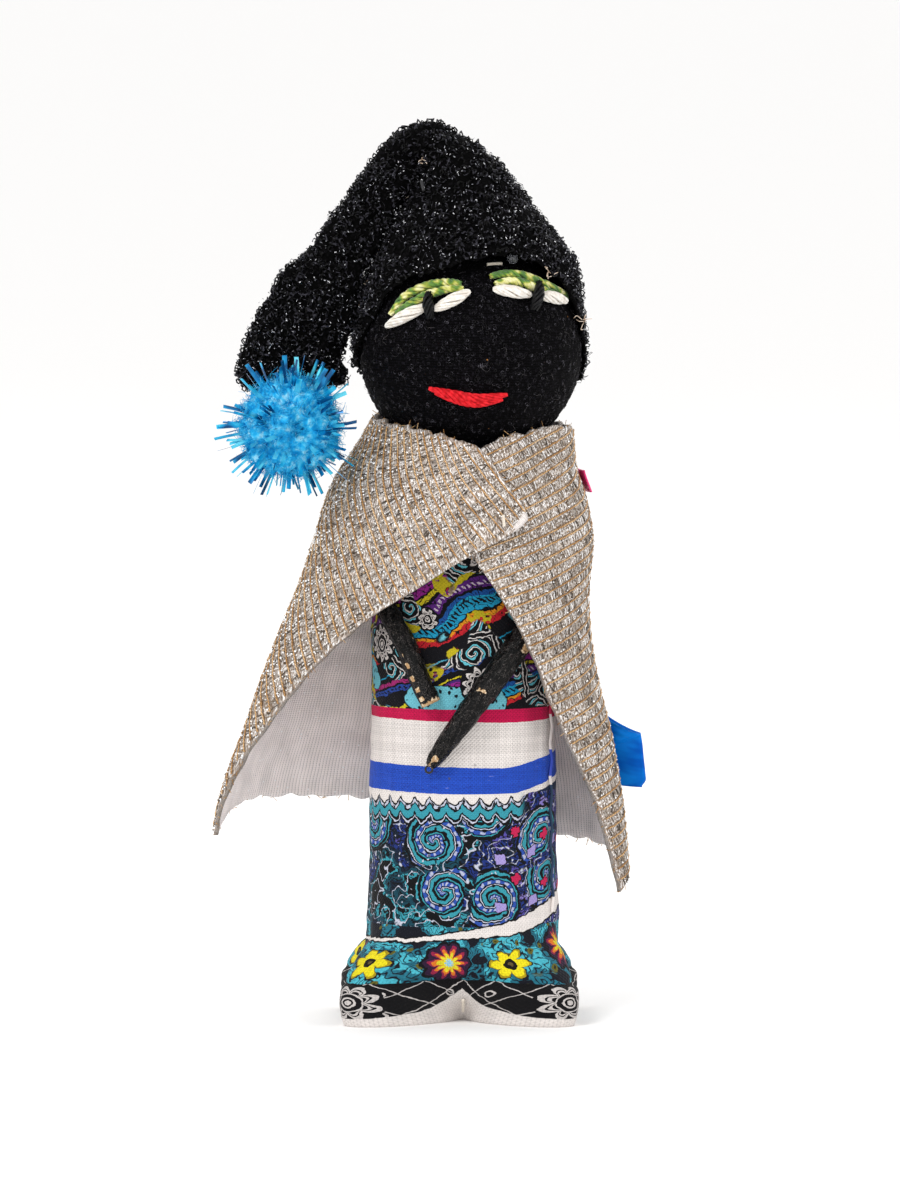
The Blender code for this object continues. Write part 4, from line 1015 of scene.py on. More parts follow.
def print_flowers():
    """The flower border: daisies and many-petalled flowers by turns, on turquoise and dark."""
    finish, wide, high, x, y = cotton("cotton_flowers", "#2f8c9c")
    cloud = finish.clouds(x, y, 0.16, 11.0, 2.0)
    finish.bands(cloud, (
        (0.0, "#10121c"), (0.42, "#22697c"), (0.50, "#45a9ba"), (0.60, "#22697c"), (1.0, "#10121c"),
    ))
    contours(finish, x, y, 0.22, 14.0, "#10121c", 0.14, 6.0)
    leaf, number = finish.cells(finish.vector(x, y, 2.5), 0.42)
    finish.paint("#5d591f", leaf.below(0.26, 0.06) * number.above(0.45))
    finish.paint("#171208", leaf.below(0.10, 0.04) * number.above(0.45))
    # The scalloped dark ground behind every other flower
    fx, fy = (x + 3.0).near(25.0), y - 14.4
    far = ((fx * fx) + (fy * fy * 1.1)).op("SQRT")
    turn = fx.op("ARCTAN2", fy)
    scallop = far / ((turn * 5.0).wave().size() * 0.16 + 0.86)
    finish.bands(scallop, ((0.0, "#2a1630"), (4.6, "#0b0a10"), (5.2, None)))
    petals = far / ((turn * 5.0).wave().size() * 0.62 + 0.40)
    finish.bands(petals, (
        (0.0, "#8cbcd6"), (0.9, "#cfc22a"), (2.4, "#cf6f24"), (3.3, "#8a2040"), (4.1, None),
    ))
    # Daisies between
    dx, dy = (x - 9.5).near(25.0), y - 14.0
    far = ((dx * dx) + (dy * dy)).op("SQRT")
    turn = dx.op("ARCTAN2", dy)
    daisy = far / ((turn * 3.0).wave().size() * 0.5 + 0.5)
    finish.bands(daisy, ((0.0, "#dccd1b"), (2.9, "#a08a14"), (3.3, "#10121c"), (3.6, None)))
    finish.bands(far, ((0.0, "#5a4a2a"), (0.40, "#120d0a"), (1.0, None)))
    finish.shade(finish.clouds(x, y, 1.2, 1.0, 2.0), 0.2)
    slanting_stripe(finish, x, y)
    return cotton_done(finish, wide, high)


def print_hem():
    """The dark band with white line flowers and rings, and the bare white hem."""
    finish, wide, y, x, _ = cotton("cotton_hem", "#08070a")
    line = "#bdb7b4"
    rx, ry = (x + 3.0).near(9.3), (y - 7.3).near(4.6)
    ring = ((rx * rx) + (ry * ry)).op("SQRT")
    finish.bands(ring, ((0.0, None), (0.55, line), (0.85, None)))
    net = (x * 0.9 + y * 1.2).near(6.2).size().op("MINIMUM", (x * 0.9 - y * 1.2).near(6.2).size())
    finish.paint(line, net.below(0.13, 0.1))
    fx, fy = (x + 15.9).near(31.8), y - 5.6
    rosette(finish, fx, fy, 4.6, 8.0, "#08070a", line)
    # The hem rises between the pinched corners
    corner = ((x + 15.9).near(31.8) / 15.9).size()
    hem = y - (corner * corner) * 6.5 - 1.9
    finish.paint("#d9d2ce", hem.below(0.0, 0.15))
    finish.shade(finish.clouds(x, y, 0.4, 1.0, 2.0), 0.09)
    return cotton_done(finish, wide, y)


def slim_corners(grid, angles):
    """The pinched corners on the right side reach less far out than those on the left."""
    slim = (1 - smooth(0.012, 0.026, grid[..., 2])) * np.abs(np.sin(2 * angles))
    return grid - stack(0.0019 * slim * (grid[..., 0] > 0), 0 * slim, 0 * slim)


def make_body():
    """The cotton sack: one skin from the middle of its underside to the top of the sleeve."""
    columns = 192
    rise = np.concatenate([
        np.linspace(0.0, 28.0, 57), np.linspace(28.0, 109.0, 86)[1:], np.linspace(109.0, 123.5, 14)[1:],
        [126.0, 128.4],
    ]) * MM
    # Rows sit on the edges where one print ends and another starts
    for top in BAND_TOPS[:-1]:
        nearest = np.argmin(np.abs(rise - top * MM))
        rise[nearest] = top * MM
    angle = np.arange(columns) * TAU / columns - math.pi
    angles, heights = np.meshgrid(angle, rise)
    grid = body_point(angles, np.minimum(heights, BODY_HEIGHT))
    grid[..., 2] = heights
    low = smooth(0.004, 0.012, heights) * (1 - smooth(0.104, 0.12, heights))
    normal = normals_of(grid, True)
    shape = 0.00030 * ripple(grid * (1, 1, 0.6), 0.016, 3) + 0.00012 * ripple(grid, 0.005, 4)
    # The crease over the hem band, bulging above it, and folds that run into the pinched corners
    crease = -0.0009 * np.exp(-((heights / MM - FIN_CREASE) / 1.1) ** 2)
    bulge = 0.0006 * np.exp(-((heights / MM - 14.5) / 3.0) ** 2)
    corner = np.abs(np.sin(2 * angles))
    folds = 0.0005 * np.sin(9 * angles + heights / 0.004) * (1 - smooth(0.0, 0.03, heights)) * (1 - corner)
    seam = 0.0003 * smooth(-0.09, -0.05, angles - SEAM_TURN) * (1 - smooth(0.06, 0.065, angles - SEAM_TURN))
    gather = 0.0004 * np.sin(26 * angles) * smooth(0.108, 0.12, heights)
    grid = grid + normal * ((shape * low + crease + bulge + folds + seam + gather)[..., None])
    grid = slim_corners(grid, angles)
    grid[..., 2] = np.clip(grid[..., 2], 0.0, None)
    grid[0, :, 2] = 0.0
    quads, plain = grid_faces(len(rise), columns, True)
    # The map's cut lies at the middle of the back
    u = np.append(angle, angle[0] + TAU) + math.pi / 2
    u = (u + math.pi) % TAU - math.pi
    cloth_u, cloth_v = np.meshgrid(u * CLOTH_RADIUS, rise / MM)
    cloth = stack(cloth_u, cloth_v).reshape(-1, 2)[plain.ravel()].reshape(-1, 4, 2)
    # A face that spans the cut keeps its corners on one side
    wide = np.ptp(cloth[..., 0], axis=1) > 60
    behind = cloth[wide][..., 0]
    cloth[wide, :, 0] = np.where(behind > 0, behind - TAU * CLOTH_RADIUS, behind)
    # Closed underneath by a disc of the same cloth, and round the sleeve by its turned-in edge
    bottom = [grid[0] * (share, share, 0) for share in (0.75, 0.5, 0.25, 0.02)]
    inner = grid[-1] * 1.0
    inner[:, :2] = (inner[:, :2] - HEAD_CENTRE[:2]) * 0.9 + HEAD_CENTRE[:2]
    inside = inner.copy()
    inside[:, 2] -= 0.008
    points = np.concatenate([grid.reshape(-1, 3), *bottom, inner, inside])
    rows = len(rise)
    ring = np.arange(columns)
    after = (ring + 1) % columns

    def strip(one, other):
        low, high = one * columns, other * columns
        return np.stack([low + ring, high + ring, high + after, low + after], axis=1)

    under = [strip(0, rows)] + [strip(rows + at, rows + at + 1) for at in range(3)]
    top = [strip(rows - 1, rows + 4)[:, ::-1], strip(rows + 4, rows + 5)[:, ::-1]]
    extra = np.concatenate(under + top)
    faces = np.concatenate([quads, extra])
    places = np.concatenate([cloth.reshape(-1, 2), points[extra.ravel()][:, :2] / MM])
    prints = [print_hem(), print_flowers(), print_lower(), print_stripes(), print_top()]
    body = mesh_of("body_cloth", points, faces, prints, places)
    middle = (rise[:-1] + rise[1:]) / 2 / MM
    kind = np.repeat(np.searchsorted(BAND_TOPS, middle), columns)
    index = np.concatenate([np.clip(kind, 0, 4), np.zeros(columns * 4, int), np.full(columns * 2, 4)])
    body.data.polygons.foreach_set("material_index", index.astype(np.int32))
    finished(body, "torso", "print_cotton", "body_cover")


make_body()


# The cape's cloth: cords a rib apart, which lean ever more on the way to the left front
RIB = 2.45
LEFT_SLOPE, RIGHT_SLOPE = 1.22, 0.30
CORD_MIDDLE = 45.0
CORD_RADIUS = 0.19 * MM
CORD_LIFT = 0.30 * MM
RUNG_RADIUS = 0.15 * MM
RUNG_PITCH = 0.80 * MM
SELVAGE = 2.0 * MM
ARC_HEIGHT = 85.0 * MM
CORD_NUMBERS = range(-29, 44)

# How far round the cape each turn is, measured at a middle height, and how its cords lean there
cape_turns = np.linspace(-1.2 * math.pi, 1.2 * math.pi, 481)
cape_arcs = far_along(cape_point(cape_turns, np.full(481, ARC_HEIGHT))) / MM
cape_arcs -= np.interp(0.0, cape_turns, cape_arcs)
slopes = np.where(
    cape_arcs > 0, LEFT_SLOPE * smooth(12, 62, cape_arcs), -RIGHT_SLOPE * smooth(8, 40, -cape_arcs)
)
cape_leans = np.concatenate([[0], np.cumsum((slopes[1:] + slopes[:-1]) / 2 * np.diff(cape_arcs))])
cape_leans -= np.interp(0.0, cape_turns, cape_leans)
cape_spreads = np.sqrt(1 + slopes ** 2)


def cord_lean(turn):
    """How far the cords have leant down at a turn, and how far apart they are."""
    return np.interp(turn, cape_turns, cape_leans), np.interp(turn, cape_turns, cape_spreads)


def cord_level(turn, number):
    """The height of a cord at a turn: cords keep their distance as they lean."""
    lean, spread = cord_lean(turn)
    return COLLAR_TOP + (number * RIB * spread - CORD_MIDDLE - lean) * MM


def rib_number(turn, height):
    """How many ribs up a place on the cloth is."""
    lean, spread = cord_lean(turn)
    return ((height - COLLAR_TOP) / MM + CORD_MIDDLE + lean) / (RIB * spread)


def cape_holds(turn, height, margin):
    """Whether the cape's cloth is there, at turns and heights."""
    on_left = turn > 0
    drop = np.where(on_left, CAPE_LEFT_DROP, CAPE_RIGHT_DROP)
    up = (height - COLLAR_TOP + drop) / (drop - FLAP_DROP)
    end = np.where(on_left, left_edge(up)[0], right_edge(up)[0]) * math.pi
    share = np.abs(turn) / end
    low = COLLAR_TOP - np.where(on_left, hem_left(share)[0], hem_right(share)[0]) * drop
    high = COLLAR_TOP - np.where(on_left, collar_left(share)[0], collar_right(share)[0]) * FLAP_DROP
    ends = margin + np.where(on_left & (up > 0.95), SELVAGE, 0.0)
    near = ends / MM / np.maximum(np.gradient(cape_arcs, cape_turns).mean() * end, 1e-6)
    return (share < 1 - near) & (height > low + margin) & (height < high - margin)


def cape_finishes():
    """The cape's metallic face, its knitted reverse, and its selvage."""
    outer = Finish("cape_face", "#8c8078", roughness=0.5, metallic=0.3)
    x, y = outer.cloth()
    rib = y.near(RIB)
    cell = outer.noise(outer.vector(x, y), 1.8, 3.0)
    outer.grades(cell, (
        (0.0, "#3d322a"), (0.40, "#756658"), (0.48, "#a5978c"), (0.56, "#d6ccc4"), (0.64, "#ffffff"),
        (1.0, "#ffffff"),
    ))
    # Painted shade: the holes between the rungs are painted dark.
    hole, number = outer.cells(outer.vector(x, y, 1.0), 1.25)
    hollow_shade = hole.below(0.22, 0.12) * number.above(0.35) * rib.size().below(1.0, 0.2)
    outer.paint("#3a3029", hollow_shade * 0.85)
    outer.paint("#8a6a44", rib.size().above(1.0, 0.15) * 0.6)
    glint, number = outer.cells(outer.vector(x, y, 0.0), 1.7)
    outer.paint("#ffffff", glint.below(0.22, 0.1) * number.above(0.64))
    outer.rough(cell.ramp(0.3, 0.7, 0.55, 0.22))
    outer.bump(cell, 0.00030)

    inner = Finish("cape_reverse", "#f9eeea", roughness=0.9, sheen_weight=0.15)
    x, y = inner.cloth()
    column = x.near(0.65).size() / 0.65
    row = (y * (TAU / 0.5)).wave() * 0.5 + 0.5
    soft = inner.clouds(x, y, 0.35, 2.0, 3.0, 0.12)
    # Painted shade in the gaps between the knit columns.
    inner.paint("#968d8a", column.above(0.40, 0.15) * row.above(0.2, 0.5) * 0.8)
    inner.shade(soft, 0.26)
    # Scattered dots: grey specks, and white ones that are painted sparkle.
    pin, number = inner.cells(inner.vector(x, y, 4.0), 0.95)
    inner.paint("#8e8683", pin.below(0.13, 0.08) * number.above(0.72) * 0.5)
    inner.paint("#ffffff", pin.below(0.16, 0.06) * number.below(0.28))
    inner.bump(column.flip() * (row * 0.5 + 0.5), 0.00012)

    edge = Finish("cape_selvage", "#eae2de", roughness=0.8)
    x, y = edge.cloth()
    edge.shade(edge.noise(edge.vector(x, y, 0.0), 1.4, 2.0), 0.25)
    edge.bump((y * (TAU / 0.7)).wave(), 0.00010)
    return outer.done(), inner.done(), edge.done()


def cord_finish():
    """Twisted metallic cord, from bronze to pale gold."""
    finish = Finish("cape_cord", "#b98a56", roughness=0.40, metallic=0.45)
    x, y = finish.cloth()
    twist = (y * (TAU / 0.85) + x * (TAU / 1.07)).wave() * 0.5 + 0.5
    worn = finish.noise(finish.solid(), 0.22, 2.0)
    finish.grades(worn, ((0.0, "#8a6236"), (0.42, "#b0834f"), (0.55, "#d2aa78"), (1.0, "#e8d3b4")))
    # Painted shade that follows the twist's relief: darker in its grooves, lighter on its ridges.
    finish.shade(twist, 0.30)
    finish.bump(twist, 0.00008)
    return finish.done()


def number_finish(name, stops, metallic, roughness):
    """Small parts whose shade is drawn by the number on their map."""
    finish = Finish(name, stops[0][1], roughness=roughness, metallic=metallic)
    x, y = finish.cloth()
    finish.bands(x, stops)
    finish.shade(y, 0.2)
    return finish.done()


def cape_cords(finish, numbers, draw):
    """Cords that lie on the cloth, cut into runs of equal count, and slightly wavy."""
    piece = 16
    step_turn = 0.8 / np.gradient(cape_arcs, cape_turns).mean()
    line = np.arange(-1.2 * math.pi, 1.2 * math.pi, step_turn)
    paths = []
    for number in numbers:
        wander = 0.00010 * np.sin(line * draw.uniform(5, 9) + draw.uniform(0, TAU))
        wander = wander + draw.normal(0, 0.00004, len(line))
        level = cord_level(line, number + 0.5) + wander
        held = cape_holds(line, level, 0.0003)
        starts = np.flatnonzero(held & ~np.append(False, held[:-1]))
        ends = np.flatnonzero(held & ~np.append(held[1:], False))
        for start, end in zip(starts, ends):
            if end - start < 3:
                continue
            runs = max(1, round((end - start + 1) / piece))
            spots = np.linspace(start, end, runs * piece + 1)
            fine_turn, fine_level = (np.interp(spots, np.arange(len(line)), part) for part in (line, level))
            shape = cape_point(fine_turn, fine_level, CORD_LIFT + 0.00006 * np.sin(fine_turn * 60))
            paths.extend(shape[first * piece:(first + 1) * piece + 1] for first in range(runs))
    points, faces, places = tubes(np.array(paths), CORD_RADIUS, 4, False)
    return mesh_of("cape_cords", points, faces, finish, places)


def rung_places(numbers, draw):
    """Places along the middle of every rib: the point, and the ways along, across and out."""
    fine = np.linspace(-1.18 * math.pi, 1.18 * math.pi, 1400)
    turns, ribs = [], []
    for number in numbers:
        path = cape_point(fine, cord_level(fine, number))
        far = far_along(path)
        spots = np.arange(0.0, far[-1], RUNG_PITCH) + draw.uniform(0, RUNG_PITCH)
        turns.append(np.interp(spots + draw.normal(0, 0.00010, len(spots)), far, fine))
        ribs.append(np.full(len(spots), number))
    turn, rib = np.concatenate(turns), np.concatenate(ribs)
    level = cord_level(turn, rib)
    kept = cape_holds(turn, level, 0.0007)
    turn, rib, level = turn[kept], rib[kept], level[kept]
    at = cape_point(turn, level)
    ahead = unit(cape_point(turn + 0.004, cord_level(turn + 0.004, rib)) - at)
    above = cape_point(turn, cord_level(turn, rib + 0.5)) - at
    out = unit(np.cross(ahead, above))
    out *= np.where((out * at * (1, 1, 0)).sum(axis=1) < 0, -1, 1)[:, None]
    across = np.cross(out, ahead)
    gap = np.abs((above * across).sum(axis=1)) * 2
    return turn, at, ahead, across, out, gap


def cape_rungs(turn, at, ahead, across, out, gap, draw):
    """Short bright metallic rungs between the cords, and round glints at their ends."""
    count = len(turn)
    tilt = draw.normal(0, 0.22, (count, 1))
    way = across + ahead * tilt
    half = (draw.uniform(0.27, 0.38, count) * gap)[:, None]
    lift = out * draw.uniform(0.00008, 0.00022, (count, 1))
    paths = np.stack([at - way * half, at + out * 0.00012, at + way * half], axis=1) + lift[:, None]
    kept = draw.random(count) > 0.10
    width = draw.uniform(0.6, 1.2, (kept.sum(), 1)) * RUNG_RADIUS
    points, faces, _ = tubes(paths[kept], width, 3, False)
    left = smooth(0.3, 0.9, turn[kept])
    shade = np.stack([np.clip(draw.random(kept.sum()) - 0.12 * left, 0, 1), draw.random(kept.sum())], axis=1)
    shade = shade[faces[:, 0] // (len(points) // kept.sum())].repeat(4, axis=0)
    stops = (
        (0.0, "#4f463c"), (0.14, "#8c7c6a"), (0.30, "#a79c90"), (0.52, "#c9c1b8"), (0.74, "#e9e4df"),
        (0.88, "#ffffff"), (1.0, "#ffffff"),
    )
    rungs = mesh_of("cape_rungs", points, faces, number_finish("cape_rung", stops, 0.45, 0.28), shade)

    # Glints in two rows to a rib, more of them on the left panel
    chance = 0.34 + 0.34 * smooth(0.6, 1.4, turn)
    pick = np.flatnonzero(draw.random(count) < chance)
    where = np.concatenate([pick, pick[draw.random(len(pick)) < 0.5]])
    amount = len(where)
    row = draw.choice((-0.24, 0.24), amount) * gap[where] * draw.uniform(0.8, 1.2, amount)
    shift = draw.normal(0, 0.00018, (amount, 1))
    size = draw.uniform(0.17, 0.30, amount) * MM
    size = size * (1 + 0.35 * smooth(0.8, 1.5, turn[where]) * (draw.random(amount) < 0.5))
    spots = at[where] + across[where] * row[:, None] + ahead[where] * shift + out[where] * 0.00032
    corner = np.array([(1, 0, 0), (0, 1, 0), (-1, 0, 0), (0, -1, 0), (0, 0, 1), (0, 0, -1)], float)
    gems = spots[:, None] + corner * size[:, None, None] * draw.uniform(0.8, 1.25, (amount, 6, 1))
    wedge = np.array([
        (0, 1, 4), (1, 2, 4), (2, 3, 4), (3, 0, 4), (1, 0, 5), (2, 1, 5), (3, 2, 5), (0, 3, 5),
    ])
    faces = (wedge + np.arange(amount)[:, None, None] * 6).reshape(-1, 3)
    places = np.repeat(draw.random((amount, 2)), 24, axis=0)
    stops = ((0.0, "#ffffff"), (0.62, "#efe9e2"), (0.78, "#c2a684"), (0.92, "#5b4a3a"), (1.0, "#5b4a3a"))
    shine = number_finish("cape_glint", stops, 0.55, 0.10)
    return rungs, mesh_of("cape_glints", gems.reshape(-1, 3), faces, shine, places)


def cape_ravel(outer, inner, finish, draw):
    """Loose ends along the edges."""
    rows, columns = outer.shape[:2]
    body = outer * 0.7 + inner * 0.3
    paths = []
    for row, count, out in ((0, 110, -1), (rows - 1, 100, 1)):
        root = body[row, draw.uniform(0, columns - 1, count).astype(int)]
        away = np.array([0, 0, out * 0.5]) + draw.normal(0, 0.6, (count, 3))
        bend = draw.normal(0, 0.0005, (count, 3))
        long = draw.uniform(0.0003, 0.0009, count)[:, None]
        long = long * np.where(draw.random(count) < 0.1, 1.8, 1.0)[:, None]
        half = root + away * long * 0.5 + bend * 0.5
        paths.append(np.stack([root - away * 0.0002, half, root + away * long + bend], axis=1))
    for column, count in ((0, 50), (columns - 1, 50)):
        spots = draw.uniform(0, rows - 1, count).astype(int)
        root = body[spots, column]
        away = outer[spots, column] - outer[spots, abs(column - 3)]
        away = unit(away) * 0.6 + draw.normal(0, 0.5, (count, 3))
        long = draw.uniform(0.0003, 0.0010, count)[:, None]
        bend = draw.normal(0, 0.0004, (count, 3))
        paths.append(np.stack([root, root + away * long * 0.5 + bend * 0.5, root + away * long + bend], axis=1))
    paths = np.array([strand(path, 6) for path in np.concatenate(paths)])
    points, faces, places = tubes(paths, draw.uniform(0.05, 0.10, (len(paths), 1)) * MM, 4)
    return mesh_of("cape_ravel", points, faces, finish, places)


def make_cape():
    """The wrapped cape, with its cords, the rungs between them, glints and ravelled edges."""
    rows, columns = 103, 191
    across, station = np.meshgrid(np.linspace(0, 1, columns), np.linspace(0, 1, rows))
    turn, height = cape_turn(across, station)
    arc = np.interp(turn, cape_turns, cape_arcs)
    near_edge = np.minimum(station, 1 - station)
    ragged = 0.0004 * ripple(stack(arc * 0.001, 0 * arc, 0 * arc), 0.003, 8) * np.exp(-near_edge / 0.02)
    height = height + ragged
    rib_level = rib_number(turn, height) * RIB
    puff = 0.00012 * np.cos(TAU * rib_level / RIB)
    rough = 0.00016 * ripple(cape_point(turn, height), 0.006, 9)
    outer = cape_point(turn, height, puff + rough)
    inner = cape_point(turn, height, rough - CAPE_CLOTH * 0.85)
    maps = stack(arc, rib_level), stack(arc, height / MM)
    points, faces, places, side = double_sheet(outer, inner, *maps)
    cape = mesh_of("cape_cloth", points, faces, cape_finishes(), places)
    # The selvage shows along the left panel's end, high up
    near_end = (faces % columns >= columns - 3).all(axis=1) & (faces < rows * columns).all(axis=1)
    high = points[faces[:, 0], 2] > COLLAR_TOP - CAPE_LEFT_DROP * 0.25
    cape.data.polygons.foreach_set("material_index", np.where(near_end & high, 2, side).astype(np.int32))
    finished(cape, "torso", "cape_metallic", "cape")
    cord, draw = cord_finish(), np.random.default_rng(21)
    cords = cape_cords(cord, CORD_NUMBERS, draw)
    rungs, glints = cape_rungs(*rung_places(CORD_NUMBERS, draw), draw)
    carried = [cords, rungs, glints, cape_ravel(outer, inner, cord, draw)]
    for piece in carried:
        finished(piece, "torso", "cape_metallic")


def ribbon_finish(name, base, dark, light):
    """Satin ribbon: fine threads across it, and soft painted bands of sheen and shade."""
    finish = Finish(name, base, roughness=0.32, specular_ior_level=0.06)
    x, y = finish.cloth()
    # Painted sheen and shade: soft lighter and darker bands over the satin; the weft's relief is painted faintly
    # lighter and darker too.
    fold = finish.clouds(x, y, 0.10, 1.0, 2.0, 0.22)
    finish.bands(fold, ((0.0, dark), (0.42, base), (0.6, light), (1.0, light)), 0.7, True)
    weft = (x * (TAU / 0.22)).wave() * 0.5 + 0.5
    finish.shade(weft, 0.05)
    finish.bump(weft, 0.00003)
    return finish.done()


def make_ribbon():
    """The satin loop behind the right wing: narrower at its outer fold, with a slanting crease in front."""
    count, rows = 81, 33
    share = np.linspace(0, 1, count)
    station = np.linspace(-1, 1, rows)
    stand = 3 * GAP + RIBBON_CLOTH
    turns = -np.array([0.20, 0.26, 0.32, 0.38]) * math.pi
    grid = np.zeros((rows, count, 3))
    out_share = 1 - np.abs(2 * share - 1)
    base = COLLAR_TOP - RIBBON_DROP - RIBBON_CLOTH
    front = share < 0.5
    for row, at in enumerate(station):
        narrow = smooth(0.55, 1.0, out_share)
        heights = base + at * RIBBON_WIDTH / 2 * (1 - 0.24 * narrow) - RIBBON_WIDTH / 6 * narrow
        # The outer fold leans, and its lower corner is round
        reach = RIBBON_REACH - RIBBON_CLOTH * (1.4 * (1 + at) + 2.4 * smooth(0.7, 1.0, -at))
        for column in range(count):
            level = np.full(4, heights[column])
            inner = cape_point(turns, level, stand)
            outer = cape_point(turns, level, stand + 4 * RIBBON_CLOTH)
            bend = np.array([reach, inner[-1, 1] - RIBBON_WIDTH / 8, heights[column]])
            route = np.concatenate([inner, [bend, bend + (-RIBBON_CLOTH, 3 * RIBBON_CLOTH, 0)], outer[::-1]])
            steps = far_along(route)
            grid[row, column] = read_row([(a / steps[-1], *p) for a, p in zip(steps, route)], share[column])
    normal = normals_of(grid)
    # The crease runs from the fold's upper corner down to the wing, and fine gathers end at it
    above = station[:, None] - (1 - 2.84 * (1 - out_share))
    gathers = 0.00030 * np.sin(station * 26)[:, None] * smooth(0.0, 0.5, above)
    lift = (0.0018 * smooth(-0.05, 0.09, above) + gathers) * front * smooth(0.60, 0.78, out_share)
    grid[..., 1] -= lift
    grid = grid + normal * (0.00010 * ripple(grid, 0.006, 17))[..., None]
    long = far_along(grid[rows // 2])
    wide = (station + 1) * RIBBON_WIDTH / 2
    cloth = stack(*np.meshgrid(long / MM, wide / MM))
    thick = 0.16 * MM
    points, faces, places, _ = double_sheet(grid + normal * thick, grid - normal * thick, cloth, cloth)
    satin = ribbon_finish("satin_azure", "#0058bc", "#003a94", "#0a84e4")
    ribbon = mesh_of("ribbon_satin", points, faces, satin, places)
    finished(ribbon, "torso", "satin_blue", "ribbon_loop")


def make_tab():
    """The short pink tab behind the collar."""
    across, station = np.meshgrid(np.linspace(0, 1, 25), np.linspace(0, 1, 9))
    turn = -math.pi * (0.30 + 0.20 * across)
    height = COLLAR_TOP - TAB_DROP - TAB_WIDTH * (0.5 - station)
    stand = 2 * GAP + RIBBON_CLOTH + TAB_STAND * across + 0.0002 * np.sin(across * 14)
    grid = cape_point(turn, height, stand)
    normal = normals_of(grid)
    long = np.linalg.norm(np.diff(grid[4], axis=0), axis=1).sum()
    cloth = stack(across * long / MM, station * TAB_WIDTH / MM)
    points, faces, places, _ = double_sheet(grid - normal * 0.0002, grid + normal * 0.0002, cloth, cloth)
    rose = ribbon_finish("ribbon_rose", "#e8407e", "#b81f58", "#ff7aa8")
    faces, places = turned_over(faces, places)
    tab = mesh_of("tab_ribbon", points, faces, rose, places)
    finished(tab, "torso", "ribbon_pink", "pink_tab")


make_cape()
make_ribbon()
make_tab()

# Face tables: places in shares of the head's radius across and up
left_white_shares = (
    ((-0.70, 0.235), (-0.55, 0.325), (-0.395, 0.395)), ((-0.295, 0.385), (-0.16, 0.455), (-0.035, 0.520)),
)
right_white_shares = (
    ((0.215, 0.545), (0.35, 0.525), (0.49, 0.495)), ((0.60, 0.488), (0.70, 0.465), (0.805, 0.430)),
)
left_iris_shares = ((-0.349, 0.302), (-0.349, 0.40), (-0.349, 0.50))
right_iris_shares = ((0.537, 0.366), (0.552, 0.47), (0.568, 0.575))
left_lid_shares = (
    ((-0.690, 0.320), (-0.564, 0.480), (-0.367, 0.575), (-0.215, 0.602), (-0.085, 0.598)),
    ((-0.640, 0.335), (-0.528, 0.412), (-0.385, 0.492), (-0.233, 0.540), (-0.065, 0.556)),
)
right_lid_shares = (
    ((0.165, 0.655), (0.303, 0.672), (0.456, 0.648), (0.661, 0.562), (0.835, 0.468)),
    ((0.205, 0.592), (0.330, 0.612), (0.456, 0.588), (0.598, 0.535), (0.724, 0.492)),
)
mouth_shares = (
    ((-0.36, -0.298), (-0.17, -0.345), (0.05, -0.378), (0.31, -0.352)),
    ((-0.31, -0.335), (-0.13, -0.388), (0.06, -0.422), (0.27, -0.392)),
)
FLOSS_RADIUS = 1.15 * MM
LID_RADIUS = 0.86 * MM
KNIT_STITCH = 0.62
KNIT_LOOPS, KNIT_HAIRS = 3200, 260


def knit_finish():
    """Fine black knit: crowded small loops with painted grey highlights on them, and a few specks."""
    finish = Finish("black_knit", "#020202", roughness=0.8, specular_ior_level=0.04)
    x, y = finish.cloth()
    shift = finish.clouds(x, y, 0.5, 3.0, 2.0) - 0.5
    column = (x + shift * 0.5).near(KNIT_STITCH).size() / KNIT_STITCH
    leg = ((y + shift * 0.6) * (TAU / KNIT_STITCH) + column * -6.0).wave() * 0.5 + 0.5
    ring, number = finish.cells(finish.vector(x, y, 1.0), 1.3)
    loop = ring.between(0.24, 0.40, 0.12) * number.above(0.25, 0.3)
    relief = leg * column.ramp(0.0, 0.14) * 0.5 + loop * 0.5
    # Painted highlights: the raised stitch legs, and the loop rings where a noise allows, are painted lighter.
    finish.paint("#100e12", leg.above(0.55, 0.4) * column.ramp(0.04, 0.2) * 0.8)
    fibre = finish.clouds(x, y, 2.2, 0.0, 3.0)
    finish.paint("#2b292f", loop * fibre.above(0.46, 0.12) * 0.8)
    speck, number = finish.cells(finish.vector(x, y, 0.0), 0.55)
    finish.paint("#c98a4a", speck.below(0.10, 0.03) * number.below(0.022))
    finish.paint("#b5b2b6", speck.below(0.05, 0.03) * number.above(0.93))
    finish.bump(relief, 0.00045)
    return finish.done()


